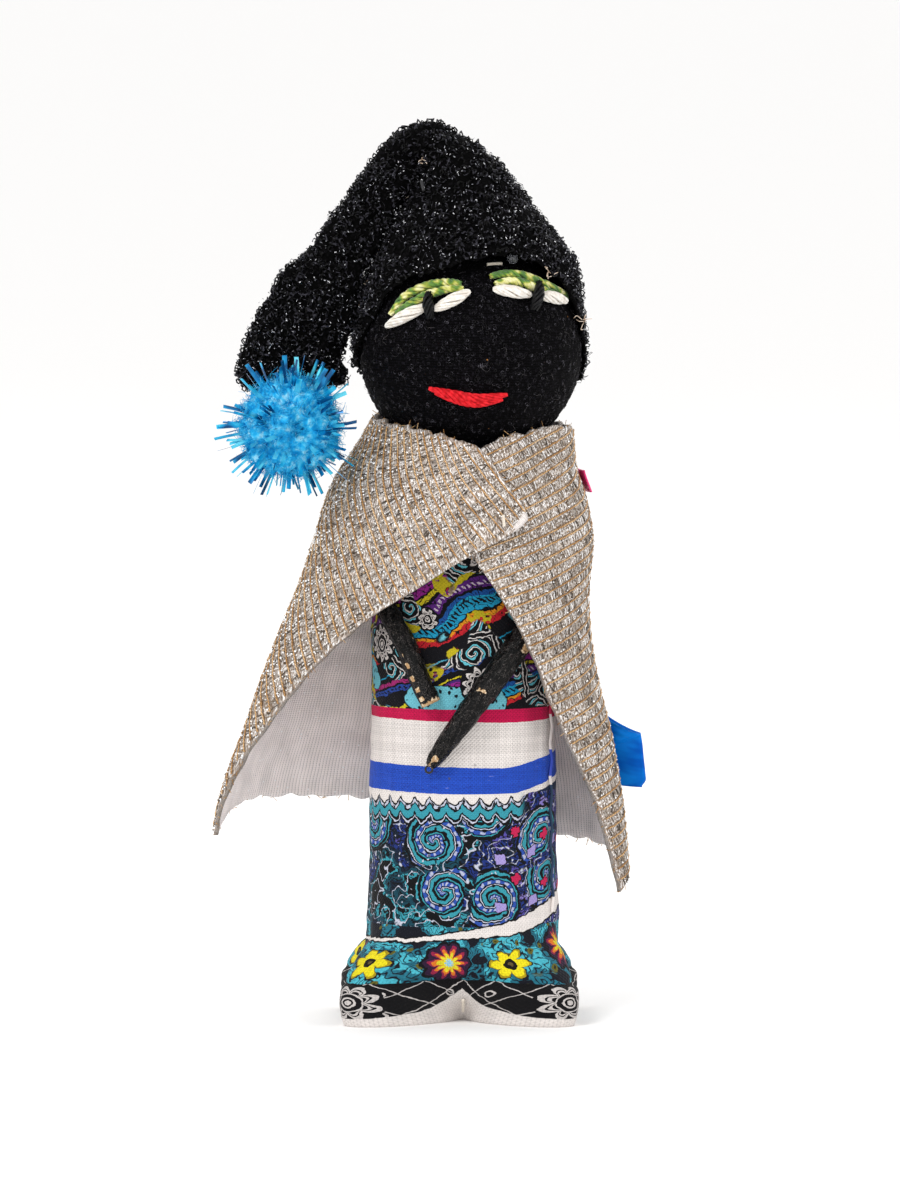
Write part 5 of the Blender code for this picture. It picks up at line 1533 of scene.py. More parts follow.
def make_head():
    """The knit ball, slightly uneven, with its neck down in the sleeve."""
    columns = 200
    neck = NECK_RADIUS - COTTON - 2 * GAP
    last = math.acos(neck / HEAD_RADIUS)
    tilt = np.linspace(-last, math.pi / 2 - 0.01, 104)
    neck_down = np.linspace(-0.0238 - NECK_DEPTH + 0.001, -math.sin(last) * HEAD_RADIUS, 14)[:-1]
    angle = np.arange(columns) * TAU / columns + math.pi / 2
    low = stack(neck * np.cos(angle), neck * np.sin(angle), neck_down[:, None])
    ball = HEAD_RADIUS * sphere(tilt[:, None], angle)
    out = ball / HEAD_RADIUS
    dents = 0.00016 * ripple(ball, 0.010, 31) + 0.00007 * ripple(ball, 0.003, 32)
    ball = ball + out * dents[..., None]
    grid = np.concatenate([low, ball]) + HEAD_CENTRE
    quads, plain = grid_faces(len(grid), columns, True)
    rise = np.concatenate([neck_down / MM - 10, tilt * HEAD_RADIUS / MM])
    # A whole number of stitch columns goes round, so they meet at the back
    round_it = np.round(TAU * HEAD_RADIUS / MM / KNIT_STITCH) * KNIT_STITCH
    cloth = stack(np.arange(columns + 1) / columns * round_it, rise[:, None]).reshape(-1, 2)
    points = np.concatenate([grid.reshape(-1, 3), [HEAD_CENTRE + (0, 0, HEAD_RADIUS)]])
    places = cloth[plain.ravel()]
    top = (len(grid) - 1) * columns
    pairs = np.arange(0, columns, 2)
    fan = np.stack([top + pairs, top + pairs + 1, top + (pairs + 2) % columns, 0 * pairs + len(points) - 1], axis=1)
    faces = np.concatenate([quads, fan])
    places = np.concatenate([places, points[fan.ravel()][:, :2] / MM])
    head = mesh_of("head_knit", points, faces, knit_finish(), places)
    finished(head, "head", "black_knit", "head_cover")

    # Small knit loops that show as rings all over
    count = KNIT_LOOPS
    root, normal, lean, draw = scatter(grid[13:], count, 34)
    side = np.cross(normal, lean)
    angle = np.linspace(0.1, 1.0, 6)[None, :, None] * TAU * draw.uniform(0.75, 1.0, (count, 1, 1))
    size = draw.uniform(0.26, 0.44, (count, 1, 1)) * MM
    paths = root[:, None] + normal[:, None] * 0.00008 + lean[:, None] * np.cos(angle) * size \
        + side[:, None] * np.sin(angle) * size * draw.uniform(0.7, 1.2, (count, 1, 1))
    points, faces, places = tubes(paths, 0.075 * MM, 3, False)
    thread = Finish("knit_thread", "#070607", roughness=0.5, specular_ior_level=0.2)
    pick = thread.noise(thread.solid(), 0.8, 2.0)
    thread.paint("#26242a", pick.above(0.49, 0.1) * 0.8)
    thread.paint("#5a5860", pick.above(0.60, 0.06) * 0.8)
    finished(mesh_of("head_loops", points, faces, thread.done(), places), "head", "black_knit")

    # Fine stray hairs
    count = KNIT_HAIRS
    root, normal, lean, draw = scatter(grid[30:110], count, 33)
    side = np.cross(normal, lean)
    long = draw.uniform(0.6, 2.6, (count, 1)) * MM
    steps = np.linspace(0, 1, 7)[None, :, None]
    curl = draw.uniform(1.0, 5.0, (count, 1, 1))
    paths = root[:, None] + normal[:, None] * (0.00005 + 0.00045 * np.sin(steps * math.pi)) \
        + lean[:, None] * long[:, None] * steps + side[:, None] * long[:, None] * 0.35 * np.sin(steps * curl)
    points, faces, places = tubes(paths, 0.022 * MM, 3, False)
    hair = Finish("stray_hair", "#6a6668", roughness=0.6)
    hair.paint("#2a282a", hair.noise(hair.solid(), 0.4, 1.0).above(0.5, 0.2))
    finished(mesh_of("head_hairs", points, faces, hair.done(), places), "head", "black_knit")


def floss_finish(name, base, dark, light, roughness=0.55):
    """Twisted cotton floss: fine fibres along it, with shade in its hollows."""
    finish = Finish(name, base, roughness=roughness, specular_ior_level=0.2)
    x, y = finish.cloth()
    fibre = (x * 26.0 + y * 7.0).wave() * 0.5 + 0.5
    cloud = finish.noise(finish.solid(), 0.9, 3.0)
    finish.paint(dark, cloud.below(0.47, 0.2) * 0.55)
    finish.paint(light, cloud.above(0.54, 0.2) * 0.55)
    finish.shade(fibre, 0.10)
    finish.bump(fibre, 0.00003)
    return finish.done()


def lid_finish():
    """Floss dyed in greens that change along it."""
    finish = Finish("floss_greens", "#5b8a2a", roughness=0.6, sheen_weight=0.3)
    x, y = finish.cloth()
    level = finish.noise(finish.solid(), 0.42, 1.0)
    finish.grades(level, (
        (0.0, "#2c4f18"), (0.36, "#3f6b1e"), (0.45, "#5d8a2a"), (0.52, "#9aa52c"), (0.58, "#d9d67a"),
        (0.66, "#e8e6b0"), (1.0, "#e8e6b0"),
    ))
    fibre = (x * 26.0 + y * 7.0).wave() * 0.5 + 0.5
    # Painted shade along the fibres' hollows.
    finish.shade(fibre, 0.14)
    finish.bump(fibre, 0.00003)
    return finish.done()


def floss_piece(name, node, path, finish, slot, plies, ply, turns, widths, seed):
    """Tapered bundles of floss along one path as one piece, in place of a CAD stitch."""
    points, faces, places = joined([
        bundle(path, width, plies, ply, turns, seed + at) for at, width in enumerate(widths)
    ])
    finished(mesh_of(name, points, faces, finish, places), "head", slot, node)


def make_face():
    """Eyes and mouth in floss."""
    count = 25
    along = np.linspace(0, 1, count)
    white = floss_finish("floss_cream", "#f1ebe2", "#d9cfc2", "#fffdf8")
    belly = FLOSS_RADIUS * (0.42 + 0.74 * np.sin(along * math.pi) ** 0.6)
    for side, lines, order in (
        ("left", left_white_shares, ("outer", "inner")), ("right", right_white_shares, ("inner", "outer")),
    ):
        for line, place in zip(lines, order):
            first, last = np.array(line[0]), np.array(line[-1])
            reach = (last - first) * 0.10
            line = (tuple(first - reach), line[1], tuple(last + reach))
            path = strand([on_head(a, b, GAP + FLOSS_RADIUS * 0.75) for a, b in line], count)
            floss_piece(
                f"{side}_eye_floss_{place}", f"{side}_eye_white_{place}", path, white, "floss_white",
                9, 0.42 * MM, 0.55, [belly, belly * 0.45], 40,
            )
    greens = lid_finish()
    for side, lines in (("left", left_lid_shares), ("right", right_lid_shares)):
        for place, line in zip(("upper", "lower"), lines):
            path = strand([on_head(a, b, GAP + LID_RADIUS) for a, b in line], 49)
            swell = LID_RADIUS * (0.62 + 0.48 * np.sin(np.linspace(0.12, math.pi - 0.12, 49)) ** 0.6)
            floss_piece(
                f"{side}_eye_greens_{place}", f"{side}_eye_lid_{place}", path, greens, "floss_green",
                4, 0.48 * MM, 3.2, [swell], 50,
            )
    black = floss_finish("floss_ink", "#050506", "#010101", "#0e0d11", 0.3)
    for side, line in (("left", left_iris_shares), ("right", right_iris_shares)):
        base = [on_head(a, b, GAP + FLOSS_RADIUS * lift) for (a, b), lift in zip(line, (0.7, 1.9, 1.5))]
        path = strand(base, count)
        swell = FLOSS_RADIUS * 0.98 * (0.75 + 0.35 * np.sin(along * math.pi))
        floss_piece(
            f"{side}_eye_ink", f"{side}_eye_iris", path, black, "floss_black",
            7, 0.38 * MM, 0.7, [swell, 0.4 * MM], 60,
        )
    red = floss_finish("floss_scarlet", "#d8101c", "#9c0a14", "#f2303a")
    for place, line in zip(("upper", "lower"), mouth_shares):
        path = strand([on_head(a, b, GAP + LID_RADIUS) for a, b in line], 33)
        swell = LID_RADIUS * (0.45 + 0.75 * np.sin(np.linspace(0.08, math.pi - 0.08, 33)) ** 0.7)
        floss_piece(
            f"mouth_floss_{place}", f"mouth_{place}_strand", path, red, "floss_red",
            5, 0.45 * MM, 2.2, [swell], 70,
        )


make_head()
make_face()


# Looped yarn: sizes of its loops, and how many stand on each part
LOOP_THREAD = 0.185 * MM
LOOP_SIZE = 0.56 * MM
LONG_THREAD = 0.07 * MM
LONG_SIZE = 0.95 * MM
CAP_LOOPS, CAP_LONG_LOOPS = 3900, 330
TAIL_LOOPS, TAIL_LONG_LOOPS = 2000, 120
FOLD_LOOPS = 420
CAP_GLINTS, TAIL_GLINTS = 2300, 1100
FUZZ_HAIRS, TINSEL_TUFTS = 3200, 95
# The fold at the peak: places along it, and its radius
FOLD_PLACES = np.array((
    (-1.0, 0.0, 196.5), (-6.6, -0.4, 201.0), (-12.4, -0.9, 200.0), (-17.2, -1.0, 195.6), (-21.0, -1.0, 190.5),
)) * MM
FOLD_RADII = np.array((3.6, 5.0, 4.5, 4.1, 3.4)) * MM
FOLD_START, FOLD_END = (-0.0105, -0.001, 0.2030), (-0.0180, -0.001, 0.1975)


def yarn_finish(name):
    """Black looped yarn: dark fibres with small bright glints."""
    finish = Finish(name, "#040404", roughness=0.36, specular_ior_level=0.14)
    lump = finish.noise(finish.solid(), 1.1, 2.0)
    finish.paint("#3c3b43", lump.above(0.56, 0.10) * 0.9)
    glint, number = finish.cells(finish.solid(), 1.25)
    finish.paint("#8d8f98", glint.below(0.15, 0.06) * number.above(0.86))
    finish.paint("#e8e9ee", glint.below(0.09, 0.04) * number.above(0.955))
    finish.bump(finish.noise(finish.solid(), 3.5, 1.0), 0.00006)
    return finish.done()


def ground_finish():
    """The yarn's ground, between the loops."""
    finish = Finish("yarn_ground", "#020202", roughness=0.9, specular_ior_level=0.05)
    lump, _ = finish.cells(finish.solid(), 1.1)
    # Painted shade: the lumps' tops are painted slightly lighter than the hollows between them.
    finish.paint("#0b0a0c", lump.below(0.35, 0.3))
    finish.bump(lump.flip(), 0.0004)
    return finish.done()


def loops(grid, count, seed, size, thread, material, name):
    """Loops of thread that stand out of a grid of points."""
    root, normal, lean, draw = scatter(grid, count, seed)
    side = np.cross(normal, lean)
    tip = draw.uniform(-1.25, 1.25, (count, 1))
    up = normal * np.cos(tip) + side * np.sin(tip)
    radius = size * draw.uniform(0.7, 1.4, (count, 1))
    angle = np.linspace(-0.30 * math.pi, 1.30 * math.pi, 7)
    long = draw.uniform(0.7, 1.35, (count, 1))
    circle = np.cos(angle)[None, :, None] * (lean * radius)[:, None] \
        + (np.sin(angle)[None, :, None] * long[:, None] + 0.35) * (up * radius)[:, None]
    wave = draw.normal(0, 0.18, (count, 7, 3)) * radius[:, None]
    width = thread * draw.uniform(0.75, 1.25, (count, 1))
    return mesh_of(name, *tubes(root[:, None] + circle + wave, width, 3, False)[:2], material)


def glints(grid, count, seed, name):
    """Short bright specks where the loops catch the light."""
    root, normal, lean, draw = scatter(grid, count, seed)
    at = root + normal * draw.uniform(0.55, 1.15, (count, 1)) * MM
    way = lean + normal * draw.normal(0, 0.5, (count, 1))
    long = draw.uniform(0.10, 0.26, (count, 1)) * MM
    paths = np.stack([at - way * long, at + normal * 0.00004, at + way * long], axis=1)
    shine = Finish(name, "#a9abb2", roughness=0.4)
    pick = shine.noise(shine.solid(), 1.3, 1.0)
    shine.grades(pick, (
        (0.0, "#2c2c31"), (0.44, "#55565d"), (0.54, "#9c9ea6"), (0.62, "#f4f4f8"), (1.0, "#ffffff"),
    ))
    points, faces, _ = tubes(paths, draw.uniform(0.045, 0.095, (count, 1)) * MM, 4, False)
    return mesh_of(name, points, faces, shine.done())


def cover(grid, body, yarn, *kinds):
    """Loops of several kinds over a grid: each has a name, a count, a seed, a size and a thread."""
    for name, count, seed, size, thread in kinds:
        finished(loops(grid, count, seed, size, thread, yarn, name), body, "looped_yarn")


def front_spot(grid, x, z):
    """The point on a grid's front that shows at a place across and up."""
    flat = grid.reshape(-1, 3)
    far = np.abs(flat[:, 0] - x * MM) + np.abs(flat[:, 2] - z * MM) + (flat[:, 1] > -0.001) * 1.0
    return flat[np.argmin(far)]


def make_cap(ground, yarn):
    """The cap, from its edge round the face to its peak, covered in loops."""
    columns, rows = 120, 70
    turn = np.arange(columns) * -TAU / columns
    low = HEAD_HEIGHT + cap_edge((turn / TAU) % 1.0)[0] * HEAD_RADIUS
    low = low + 0.0004 * np.sin(turn * 23) + 0.0003 * np.sin(turn * 57)
    high = HEAD_HEIGHT + PEAK_RISE - LOOPED_YARN
    station = 1 - (1 - np.linspace(0, 1, rows)[:, None]) ** 1.25
    height = low + (high - low) * station
    turns = np.broadcast_to(turn, height.shape)
    shape = cap_point(turns, height, LOOPED_YARN * 0.32)
    out = normals_of(shape, True)
    lumps = 0.00045 * ripple(shape, 0.004, 41) + 0.0006 * ripple(shape, 0.016, 42)
    outer = shape + out * (lumps * np.minimum(1, 8 * (1 - station)))[..., None]
    inner = cap_point(turns, height, 0.00015)
    size = rows * columns
    quads, _ = grid_faces(rows, columns, True)
    ring = np.arange(columns)
    rim = np.stack([ring, ring + size, np.roll(ring, -1) + size, np.roll(ring, -1)], axis=1)
    tip = cap_point(np.zeros(1), np.array([high]), 0.0)[0] + (0, 0, 0.0008)
    points = np.concatenate([outer.reshape(-1, 3), inner.reshape(-1, 3), [tip, tip - (0, 0, 0.0015)]])
    top = (rows - 1) * columns
    pairs = np.arange(0, columns, 2)
    fan = np.stack([top + pairs, top + pairs + 1, top + (pairs + 2) % columns, 0 * pairs + 2 * size], axis=1)
    cone = fan[:, [2, 1, 0, 3]] + (size, size, size, 1)
    faces = np.concatenate([quads, quads[:, ::-1] + size, rim, fan, cone])
    cap = mesh_of("cap_yarn", points, faces, ground)
    finished(cap, "head", "looped_yarn", "hat_cap")
    cover(
        outer, "head", yarn, ("cap_loops", CAP_LOOPS, 43, LOOP_SIZE, LOOP_THREAD),
        ("cap_long_loops", CAP_LONG_LOOPS, 44, LONG_SIZE, LONG_THREAD),
    )
    finished(glints(outer, CAP_GLINTS, 48, "cap_glints"), "head", "looped_yarn")
    return outer


def make_snags(grid):
    """Snagged pale threads and bits of gold caught in the yarn."""
    draw = np.random.default_rng(45)
    paths, widths = [], []
    for x, z, count, long in (
        (-26.0, 177.0, 7, 1.6), (-24.4, 178.2, 6, 1.5), (-27.0, 163.5, 7, 1.5), (-10.4, 199.4, 9, 1.7),
        (-8.6, 197.6, 4, 1.2), (18.0, 171.0, 6, 1.3), (-28.4, 170.0, 5, 1.2), (-13.6, 189.0, 2, 0.9),
        (27.6, 160.5, 5, 2.0),
    ):
        root = front_spot(grid, x, z) + (0, -0.0006, 0)
        for _ in range(count):
            way = draw.normal(0, 1, 3) * (0.8, 0.35, 1.0) + (0, -0.5, 0)
            way *= long * MM / np.linalg.norm(way)
            bend = draw.normal(0, 0.25, 3) * long * MM
            start = root + draw.normal(0, 0.00035, 3)
            paths.append(strand([start, start + way * 0.5 + bend, start + way], 7))
            widths.append(draw.uniform(0.07, 0.13) * MM)
    points, faces, _ = tubes(np.array(paths), np.array(widths)[:, None], 4)
    snag = Finish("snag_pale", "#cdb8a4", roughness=0.7, specular_ior_level=0.3)
    tone = snag.noise(snag.solid(), 0.9, 1.0)
    snag.grades(tone, ((0.0, "#6d5c4e"), (0.42, "#b59c86"), (0.52, "#dccab8"), (1.0, "#efe6da")))
    snags = mesh_of("cap_snags", points, faces, snag.done())
    finished(snags, "head", "looped_yarn")


def make_fold(ground, yarn):
    """The fold that carries the tail at the peak."""
    columns, rows = 48, 36
    share = np.linspace(0, 1, rows)
    knots = np.linspace(0, 1, len(FOLD_RADII))
    path = strand(FOLD_PLACES, rows)
    radius = np.interp(share, knots, FOLD_RADII) * np.sqrt(np.clip(1 - np.abs(2 * share - 1) ** 10, 0.02, 1))
    ring = rings(*beside(path), np.arange(columns) * TAU / columns)
    grid = path[:, None] + ring * radius[:, None, None]
    grid = grid + ring * (0.0004 * ripple(grid, 0.004, 46))[..., None]
    pieces = (
        mesh_of("fold_yarn", grid.reshape(-1, 3), closed_faces(rows, columns), ground),
        loops(grid, FOLD_LOOPS, 47, LOOP_SIZE, LOOP_THREAD, yarn, "fold_loops"),
    )
    for piece in pieces:
        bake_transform(piece)
        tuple(FOLD_START)
        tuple(FOLD_END)


def make_tail(ground, yarn):
    """The cap's folded tail, covered in loops. Its inner side leans on the cap, except low down."""
    columns, rows = 72, 80
    along = np.linspace(0, 1, rows)[:, None]
    around = np.arange(columns) * TAU / columns
    alongs, arounds = np.broadcast_arrays(along, around)
    shape = tail_point(arounds, alongs)
    middle = shape.mean(axis=1, keepdims=True)
    end = np.minimum(along / 0.07, (1 - along) / 0.05)
    close = np.sqrt(1 - (1 - np.clip(end, 0, 1)) ** 2)
    shape = middle + (shape - middle) * np.maximum(close, 0.03)[..., None]
    outward = np.clip(np.cos(arounds), 0, 1)
    slim = smooth(0.35, 0.6, alongs) * (1 - smooth(0.82, 0.95, alongs)) * outward
    droop = smooth(0.80, 1.0, alongs) * outward
    shape = shape + stack(0.0012 * slim, 0 * slim, -0.0042 * droop)
    level = np.clip(shape[..., 2], HEAD_HEIGHT, HEAD_HEIGHT + PEAK_RISE * 0.98)
    side = cap_point(np.full_like(level, math.pi / 2), level, LOOPED_YARN * 0.5)
    _, lean = cap_form((level - HEAD_HEIGHT) / (PEAK_RISE - LOOPED_YARN))
    cap_middle = HEAD_OFFSET - PEAK_LEAN * lean
    wide = cap_middle - side[..., 0]
    edge = cap_middle - np.sqrt(np.maximum(wide ** 2 - shape[..., 1] ** 2, 0.0))
    gap = np.clip(edge - 0.0004 - shape[..., 0], 0.0, 0.008)
    weight = smooth(0.1, 0.85, -np.cos(arounds)) * smooth(0.156, 0.161, shape[..., 2])
    shape = shape + stack(gap * weight, 0 * gap, 0 * gap)
    if ((shape - shape.mean(axis=1, keepdims=True)) * normals_of(shape, True)).sum() < 0:
        shape = shape[:, ::-1]
    out = normals_of(shape, True)
    lumps = 0.0004 * ripple(shape, 0.004, 51) + 0.0005 * ripple(shape, 0.014, 52)
    shape = shape + out * ((lumps - 0.0003) * close)[..., None]
    tail = mesh_of("tail_yarn", shape.reshape(-1, 3), closed_faces(rows, columns), ground)
    finished(tail, "hat_tail", "looped_yarn", "hat_tail")
    cover(
        shape, "hat_tail", yarn, ("tail_loops", TAIL_LOOPS, 53, LOOP_SIZE, LOOP_THREAD),
        ("tail_long_loops", TAIL_LONG_LOOPS, 54, LONG_SIZE, LONG_THREAD),
    )
    finished(glints(shape, TAIL_GLINTS, 55, "tail_glints"), "hat_tail", "looped_yarn")


def tinsel_finish():
    """Flat metallic film, navy to cyan from strip to strip."""
    tinsel = Finish("tinsel_metal", "#1590c8", roughness=0.22, metallic=0.45)
    shade = tinsel.noise(tinsel.solid(), 0.17, 1.0)
    tinsel.grades(shade, (
        (0.0, "#03284c"), (0.40, "#075284"), (0.46, "#0b84bd"), (0.53, "#18aedb"), (0.60, "#5ad4ee"),
        (1.0, "#9aeaf8"),
    ))
    tinsel.bump(tinsel.noise(tinsel.solid(), 0.5, 1.0), 0.0001)
    return tinsel.done()


def make_pompom():
    """The fluffy ball with its flat tinsel."""
    centre = HEAD_CENTRE + np.array(BALL_PLACE)
    rows, columns = 48, 72
    tilt = np.linspace(-math.pi / 2 + 0.03, math.pi / 2 - 0.03, rows)[:, None]
    angle = np.arange(columns) * TAU / columns
    out = sphere(tilt, angle)
    size = 10.8 * MM + 0.0009 * ripple(out * 0.01, 0.004, 61) + 0.0005 * ripple(out * 0.01, 0.0015, 62)
    ball = centre + out * size[..., None]
    fluff = Finish("fluff_sky", "#1f97d8", roughness=0.95, specular_ior_level=0.1)
    cloud = fluff.noise(fluff.solid(), 0.55, 3.0)
    fluff.grades(cloud, (
        (0.0, "#0a80c6"), (0.40, "#189cdc"), (0.50, "#30b4ea"), (0.58, "#58c6f0"), (0.68, "#93daf6"),
        (1.0, "#bfeafb"),
    ))
    fluff.bump(fluff.noise(fluff.solid(), 1.5, 3.0), 0.0006)
    fluff = fluff.done()
    core = mesh_of("pompom_fluff", ball.reshape(-1, 3), closed_faces(rows, columns, -1), fluff)
    finished(core, "pompom", "pom_blue", "pompom_core")
    count = FUZZ_HAIRS
    root, normal, lean, draw = scatter(ball, count, 63)
    side = np.cross(normal, lean)
    steps = np.linspace(0, 1, 4)[None, :, None]
    long = draw.uniform(0.8, 2.6, (count, 1, 1)) * MM
    curl = draw.uniform(0, 4, (count, 1, 1))
    paths = root[:, None] + normal[:, None] * long * (steps * 0.9 - 0.25) \
        + lean[:, None] * long * 0.8 * np.sin(steps * curl) \
        + side[:, None] * long * 0.6 * (np.cos(steps * curl) - 1)
    points, faces, places = tubes(paths, np.array([0.09, 0.075, 0.06, 0.03]) * MM, 3, False)
    finished(mesh_of("pompom_fuzz", points, faces, fluff, places), "pompom", "pom_blue")

    # Flat strips in tufts: none towards the tail or the head
    draw = np.random.default_rng(64)
    ways = unit(draw.normal(size=(900, 3)))
    clear = unit(tail_point(np.zeros(1), np.ones(1))[0] - centre)
    to_head = unit(np.array((1, 0.45, 0.15)))
    picked = []
    for way in ways[(ways @ clear < 0.72) & (ways @ to_head < 0.80)]:
        if all(way @ other < 0.955 for other in picked):
            picked.append(way)
    ways = np.repeat(np.array(picked)[:TINSEL_TUFTS], 3, axis=0)
    ways = unit(ways + draw.normal(0, 0.085, ways.shape))
    count = len(ways)
    steps = np.linspace(0, 1, 6)[None, :, None]
    bend = np.cross(ways, draw.normal(size=(count, 3))) * 0.0008
    reach = draw.uniform(0.78, 1.05, (count, 1, 1)) * TINSEL_REACH
    paths = centre + ways[:, None] * (0.006 + (reach - 0.006) * steps) + bend[:, None] * steps ** 2
    width = draw.uniform(0.34, 0.56, (count, 1)) * MM
    points, faces, places = tubes(paths, width, 4, True, 0.12, draw.uniform(0, TAU, count))
    strips = mesh_of("pompom_strips", points, faces, tinsel_finish(), places, smooth_shade=False)
    finished(strips, "pompom", "tinsel_blue", "pompom_tinsel")


def make_hat():
    """The cap, its snags, the fold at its peak and its tail."""
    ground, yarn = ground_finish(), yarn_finish("yarn_loops")
    make_snags(make_cap(ground, yarn))
    make_fold(ground, yarn)
    make_tail(ground, yarn)


make_hat()
make_pompom()


ARM_SIDES = 48


def leather_finish():
    """Black leather with fine cracks, and tan where its surface is rubbed off."""
    finish = Finish("leather_roll", "#020202", roughness=0.24, specular_ior_level=0.15)
    x, y = finish.cloth()
    grain, _ = finish.cells(finish.solid(), 2.4)
    crease = finish.clouds(x, y, 0.9, 0.0, 5.0, 0.35)
    finish.paint("#0c0a0b", grain.below(0.25, 0.3) * 0.5)
    finish.paint("#0b0909", crease.above(0.55, 0.1) * 0.7)
    # Pale wandering lines: scratches, painted light as glossy highlights along the creases.
    scratch_highlight = finish.clouds(x, y, 0.8, 5.0, 2.0, 0.4)
    scratch_highlight = (scratch_highlight * 9.0).near(1.0).size().below(0.05, 0.05) * crease.above(0.47, 0.04)
    finish.paint("#6b6562", scratch_highlight * 0.7)
    worn = finish.made.node_tree.nodes.new("ShaderNodeAttribute")
    worn.attribute_name = "worn"
    rub = Field(finish.tree, worn.outputs["Fac"])
    speckle = finish.noise(finish.solid(), 1.3, 3.0)
    bare = (rub + (speckle - 0.5) * 0.9).above(0.5, 0.1)
    finish.paint("#b08d66", bare)
    finish.paint("#e0cdb0", bare * speckle.above(0.58, 0.06) * 0.8)
    finish.rough(bare.ramp(0, 1, 0.33, 0.9))
    finish.bump(grain * 0.5 + crease * 0.5, 0.00035)
    return finish.done()


def arm_line(rows, radius, count):
    """An arm's points and its widths, with its own radius and a gap off the cloth."""
    table = [(at / (len(rows) - 1), *row) for at, row in enumerate(rows)]
    turn, up, width = np.array([read_row(table, at / (count - 1)) for at in range(count)]).T
    return off_body(turn * TAU, up * BODY_HEIGHT, GAP * 2 + (radius * width)[:, None]), width


def rolled(path, width, radius, seam, seed):
    """A strip of leather rolled up: its outer end makes a step along the roll."""
    angle = np.arange(ARM_SIDES) * TAU / ARM_SIDES
    share = angle / TAU
    along = np.linspace(0, 1, len(path))[:, None]
    step = 0.92 + 0.16 * smooth(0.0, 0.04, share) - 0.12 * share
    size = radius * width[:, None] * step
    size = size * (1 - 0.06 * np.abs(np.sin(angle + 0.6)))
    ring = rings(*beside(path), angle + seam + 0.5 * along)
    points = path[:, None] + ring * size[..., None]
    dents = 0.00012 * ripple(points, 0.0035, seed)
    dents = dents + 0.00007 * ripple(points * (1, 1, 0.4), 0.0014, seed + 1)
    return points + ring * dents[..., None], along


def make_arm(name, body, rows, radius, seam, seed, worn):
    """One rolled arm, with its cut ends and its rubbed places."""
    path, width = arm_line(rows, radius, 90)
    points, along = rolled(path, width, radius, seam, seed)
    sides = ARM_SIDES
    run, start = unit(path[-1] - path[-2]), unit(path[1] - path[0])
    # The cut ends: rings that step in and out, as the layers of the roll show there
    middle = points.mean(axis=1)
    ends = [
        middle[-1] + (points[-1] - middle[-1]) * shrink + run * (0.0003 - sink * 0.0007)
        for shrink, sink in ((0.93, 0.25), (0.80, 0.10), (0.66, 0.45), (0.50, 0.15), (0.32, 0.5), (0.12, 0.3))
    ]
    first = [middle[0] + (points[0] - middle[0]) * shrink - start * 0.0002 for shrink in (0.12, 0.6)]
    grid = np.concatenate([first, points, ends])
    _, plain = grid_faces(len(grid), sides, True)
    faces = closed_faces(len(grid), sides)
    long = far_along(grid.mean(axis=1)) / MM
    cloth = stack(np.arange(sides + 1)[None, :] / sides * TAU * radius / MM, long[:, None]).reshape(-1, 2)
    places = np.concatenate([cloth[plain.ravel()], np.zeros(((len(faces) - len(plain)) * 4, 2))])
    if (normals_of(grid, True)[40] * (grid[40] - grid[40].mean(axis=0))).sum() < 0:
        faces, places = turned_over(faces, places)
    arm = mesh_of(name, grid.reshape(-1, 3), faces, leather_finish(), places)
    rub = np.zeros(grid.shape[:2])
    rub[len(first):-len(ends)] = worn(unit(points - middle[:, None]), along, points)
    rub[-len(ends):] = 0.75
    layer = arm.data.attributes.new("worn", "FLOAT", "POINT")
    layer.data.foreach_set("value", rub.ravel().astype(np.float32))
    finished(arm, body, "leather_black", body)


def make_arms():
    """The two rolled leather arms."""

    def left_worn(out, along, points):
        edge = smooth(0.93, 0.98, out @ (-0.54, -0.80, -0.24)) * smooth(0.66, 0.74, along)
        dash = np.sin(along * 95) > -0.1
        dots = ripple(points, 0.002, 81) > 1.55
        return 0.75 * edge * dash + 0.6 * smooth(0.93, 1.0, along) + 0.5 * dots

    def right_worn(out, along, points):
        total = 0.0 * along
        for at, side, wide in (
            (0.36, 0.5, 0.030), (0.43, 0.8, 0.025), (0.60, -0.3, 0.008), (0.96, -0.3, 0.05), (0.88, 0.0, 0.03),
        ):
            way = np.array((0.83 * side, -1.0, -0.55 * side)) / math.hypot(side, 1.0)
            total = total + 0.80 * np.exp(-((along - at) / wide) ** 2) * smooth(0.80, 0.97, out @ way)
        return total + 0.5 * (ripple(points, 0.0025, 82) > 1.9)

    make_arm("left_arm_roll", "left_arm", left_arm_shares, LEFT_ARM_RADIUS, 2.4, 83, left_worn)
    make_arm("right_arm_roll", "right_arm", right_arm_shares, RIGHT_ARM_RADIUS, 0.9, 85, right_worn)


def thread_finish(name, base):
    """Sewing thread with its twist."""
    finish = Finish(name, base, roughness=0.6, sheen_weight=0.2)
    level = finish.noise(finish.solid(), 4.0, 1.0)
    finish.shade(level, 0.3)
    finish.bump(level, 0.00008)
    return finish.done()


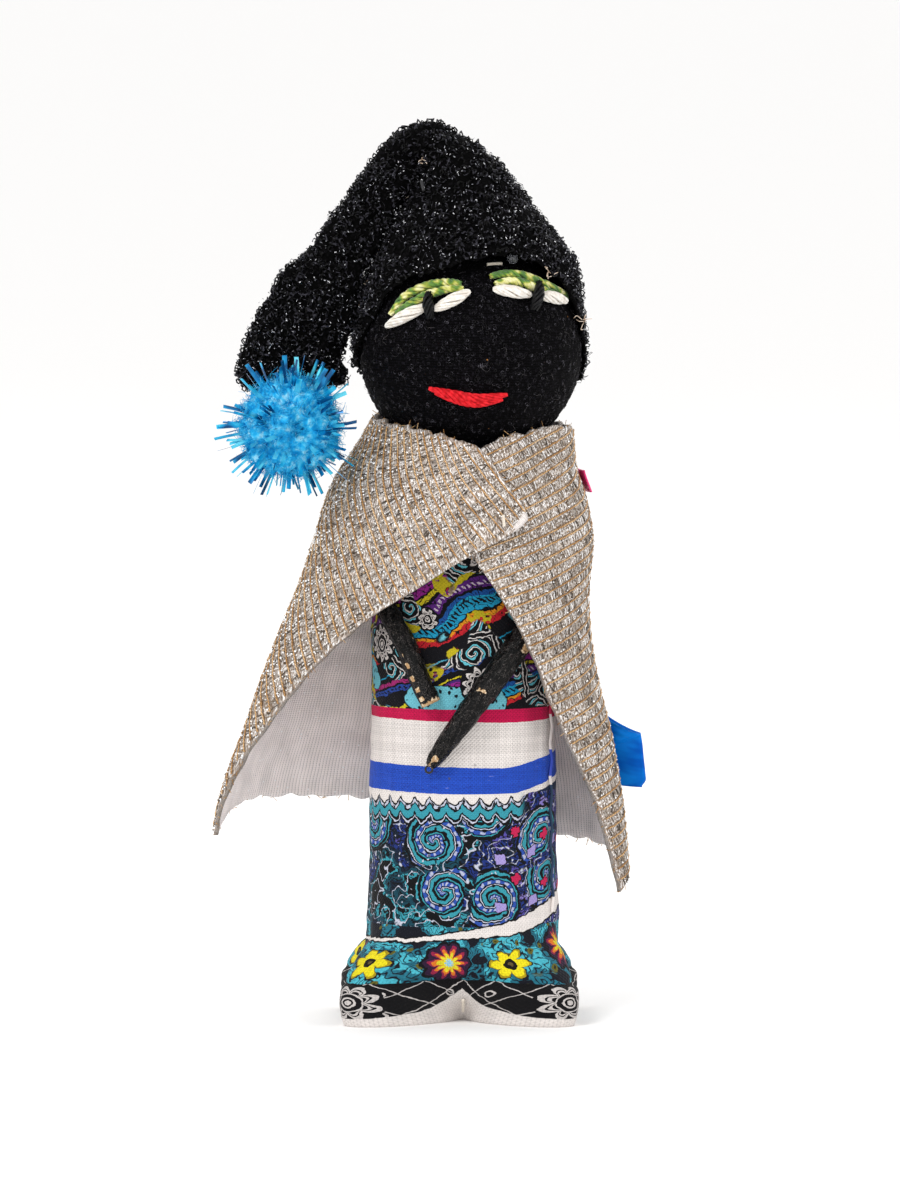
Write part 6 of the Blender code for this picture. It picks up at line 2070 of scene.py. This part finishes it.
def dress_threads():
    """The sewing threads, the ring and the bead keep their CAD shapes."""
    dark = thread_finish("thread_dark", "#141318")
    pale = thread_finish("thread_pale", "#d9cfc0")
    glass = Finish("glass_clear", "#b9bcc2", roughness=0.06, metallic=0.0)
    glass.shader.inputs["Transmission Weight"].default_value = 0.75
    glass.shader.inputs["IOR"].default_value = 1.5
    cloud = glass.noise(glass.solid(), 0.8, 2.0)
    glass.paint("#6d7078", cloud.above(0.5, 0.3) * 0.6)
    glass.bump(cloud, 0.0001)
    glass = glass.done()
    ring = thread_finish("leather_ring", "#0c0b0b")
    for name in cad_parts:
        shown = bpy.data.objects[name]
        if "thread" in name or "stitch" in name or name == "neck_tie":
            kind = pale if name in ("forehead_stitch", "cape_tack_stitch") or "base" in name else dark
        elif name == "forehead_bead":
            kind = glass
        elif name == "right_arm_ring":
            kind = ring
        else:
            continue
        for slot in shown.material_slots:
            slot.material = kind


def dress_seam():
    """The side seam's thread takes the colours of the bands that it crosses."""
    finish = Finish("thread_seam", "#16304c", roughness=0.7)
    height = Field(finish.tree, finish.node("SeparateXYZ", Vector=finish.solid()).outputs["Z"])
    finish.bands(height, (
        (0.0, "#141318"), (24.0, "#e2dad5"), (28.0, "#16304c"), (54.3, "#d6cecb"), (56.0, "#2b45ad"),
        (62.0, "#d6cecb"), (70.2, "#b81848"), (73.0, "#0b0a10"), (130.0, "#0b0a10"),
    ))
    for slot in bpy.data.objects["side_seam_thread"].material_slots:
        slot.material = finish.done()


def make_filling():
    """The fibre filling of the body and of the head."""
    fibre = Finish("fibre_filling", "#eceae6", roughness=0.95, sheen_weight=0.3)
    cloud = fibre.noise(fibre.solid(), 0.5, 4.0)
    fibre.shade(cloud, 0.1)
    fibre.bump(cloud, 0.0006)
    fibre = fibre.done()
    columns, rows = 48, 60
    angle = np.arange(columns) * TAU / columns
    rise = np.linspace(0.003, SHOULDER_HEIGHT + SHOULDER_DROP * 0.55, rows)[:, None]
    angles, heights = np.broadcast_arrays(angle, rise)
    body = slim_corners(body_point(angles, heights), angles)
    inset = 0.0026 + 0.0005 * ripple(body, 0.008, 91)
    body = body - unit(body - body.mean(axis=1, keepdims=True)) * inset[..., None]
    ball = sphere(np.linspace(-1.2, 1.54, 40)[:, None], angle)
    ball = HEAD_CENTRE + ball * (HEAD_RADIUS - 0.0022 - 0.0004 * ripple(ball * 0.02, 0.006, 92))[..., None]
    for name, node, grid, where in (
        ("body_filling", "body_stuffing", body, "torso"), ("head_filling", "head_stuffing", ball, "head"),
    ):
        # Smaller rings close the bottom, as the pinched outline bends inwards between its corners
        inner = grid[0].mean(axis=0)
        grid = np.concatenate([[inner + (grid[0] - inner) * share for share in (0.02, 0.35, 0.7)], grid])
        made = mesh_of(name, grid.reshape(-1, 3), closed_faces(len(grid), columns, -1), fibre)
        finished(made, where, "stuffing", node)


make_arms()
dress_threads()
dress_seam()
make_filling()
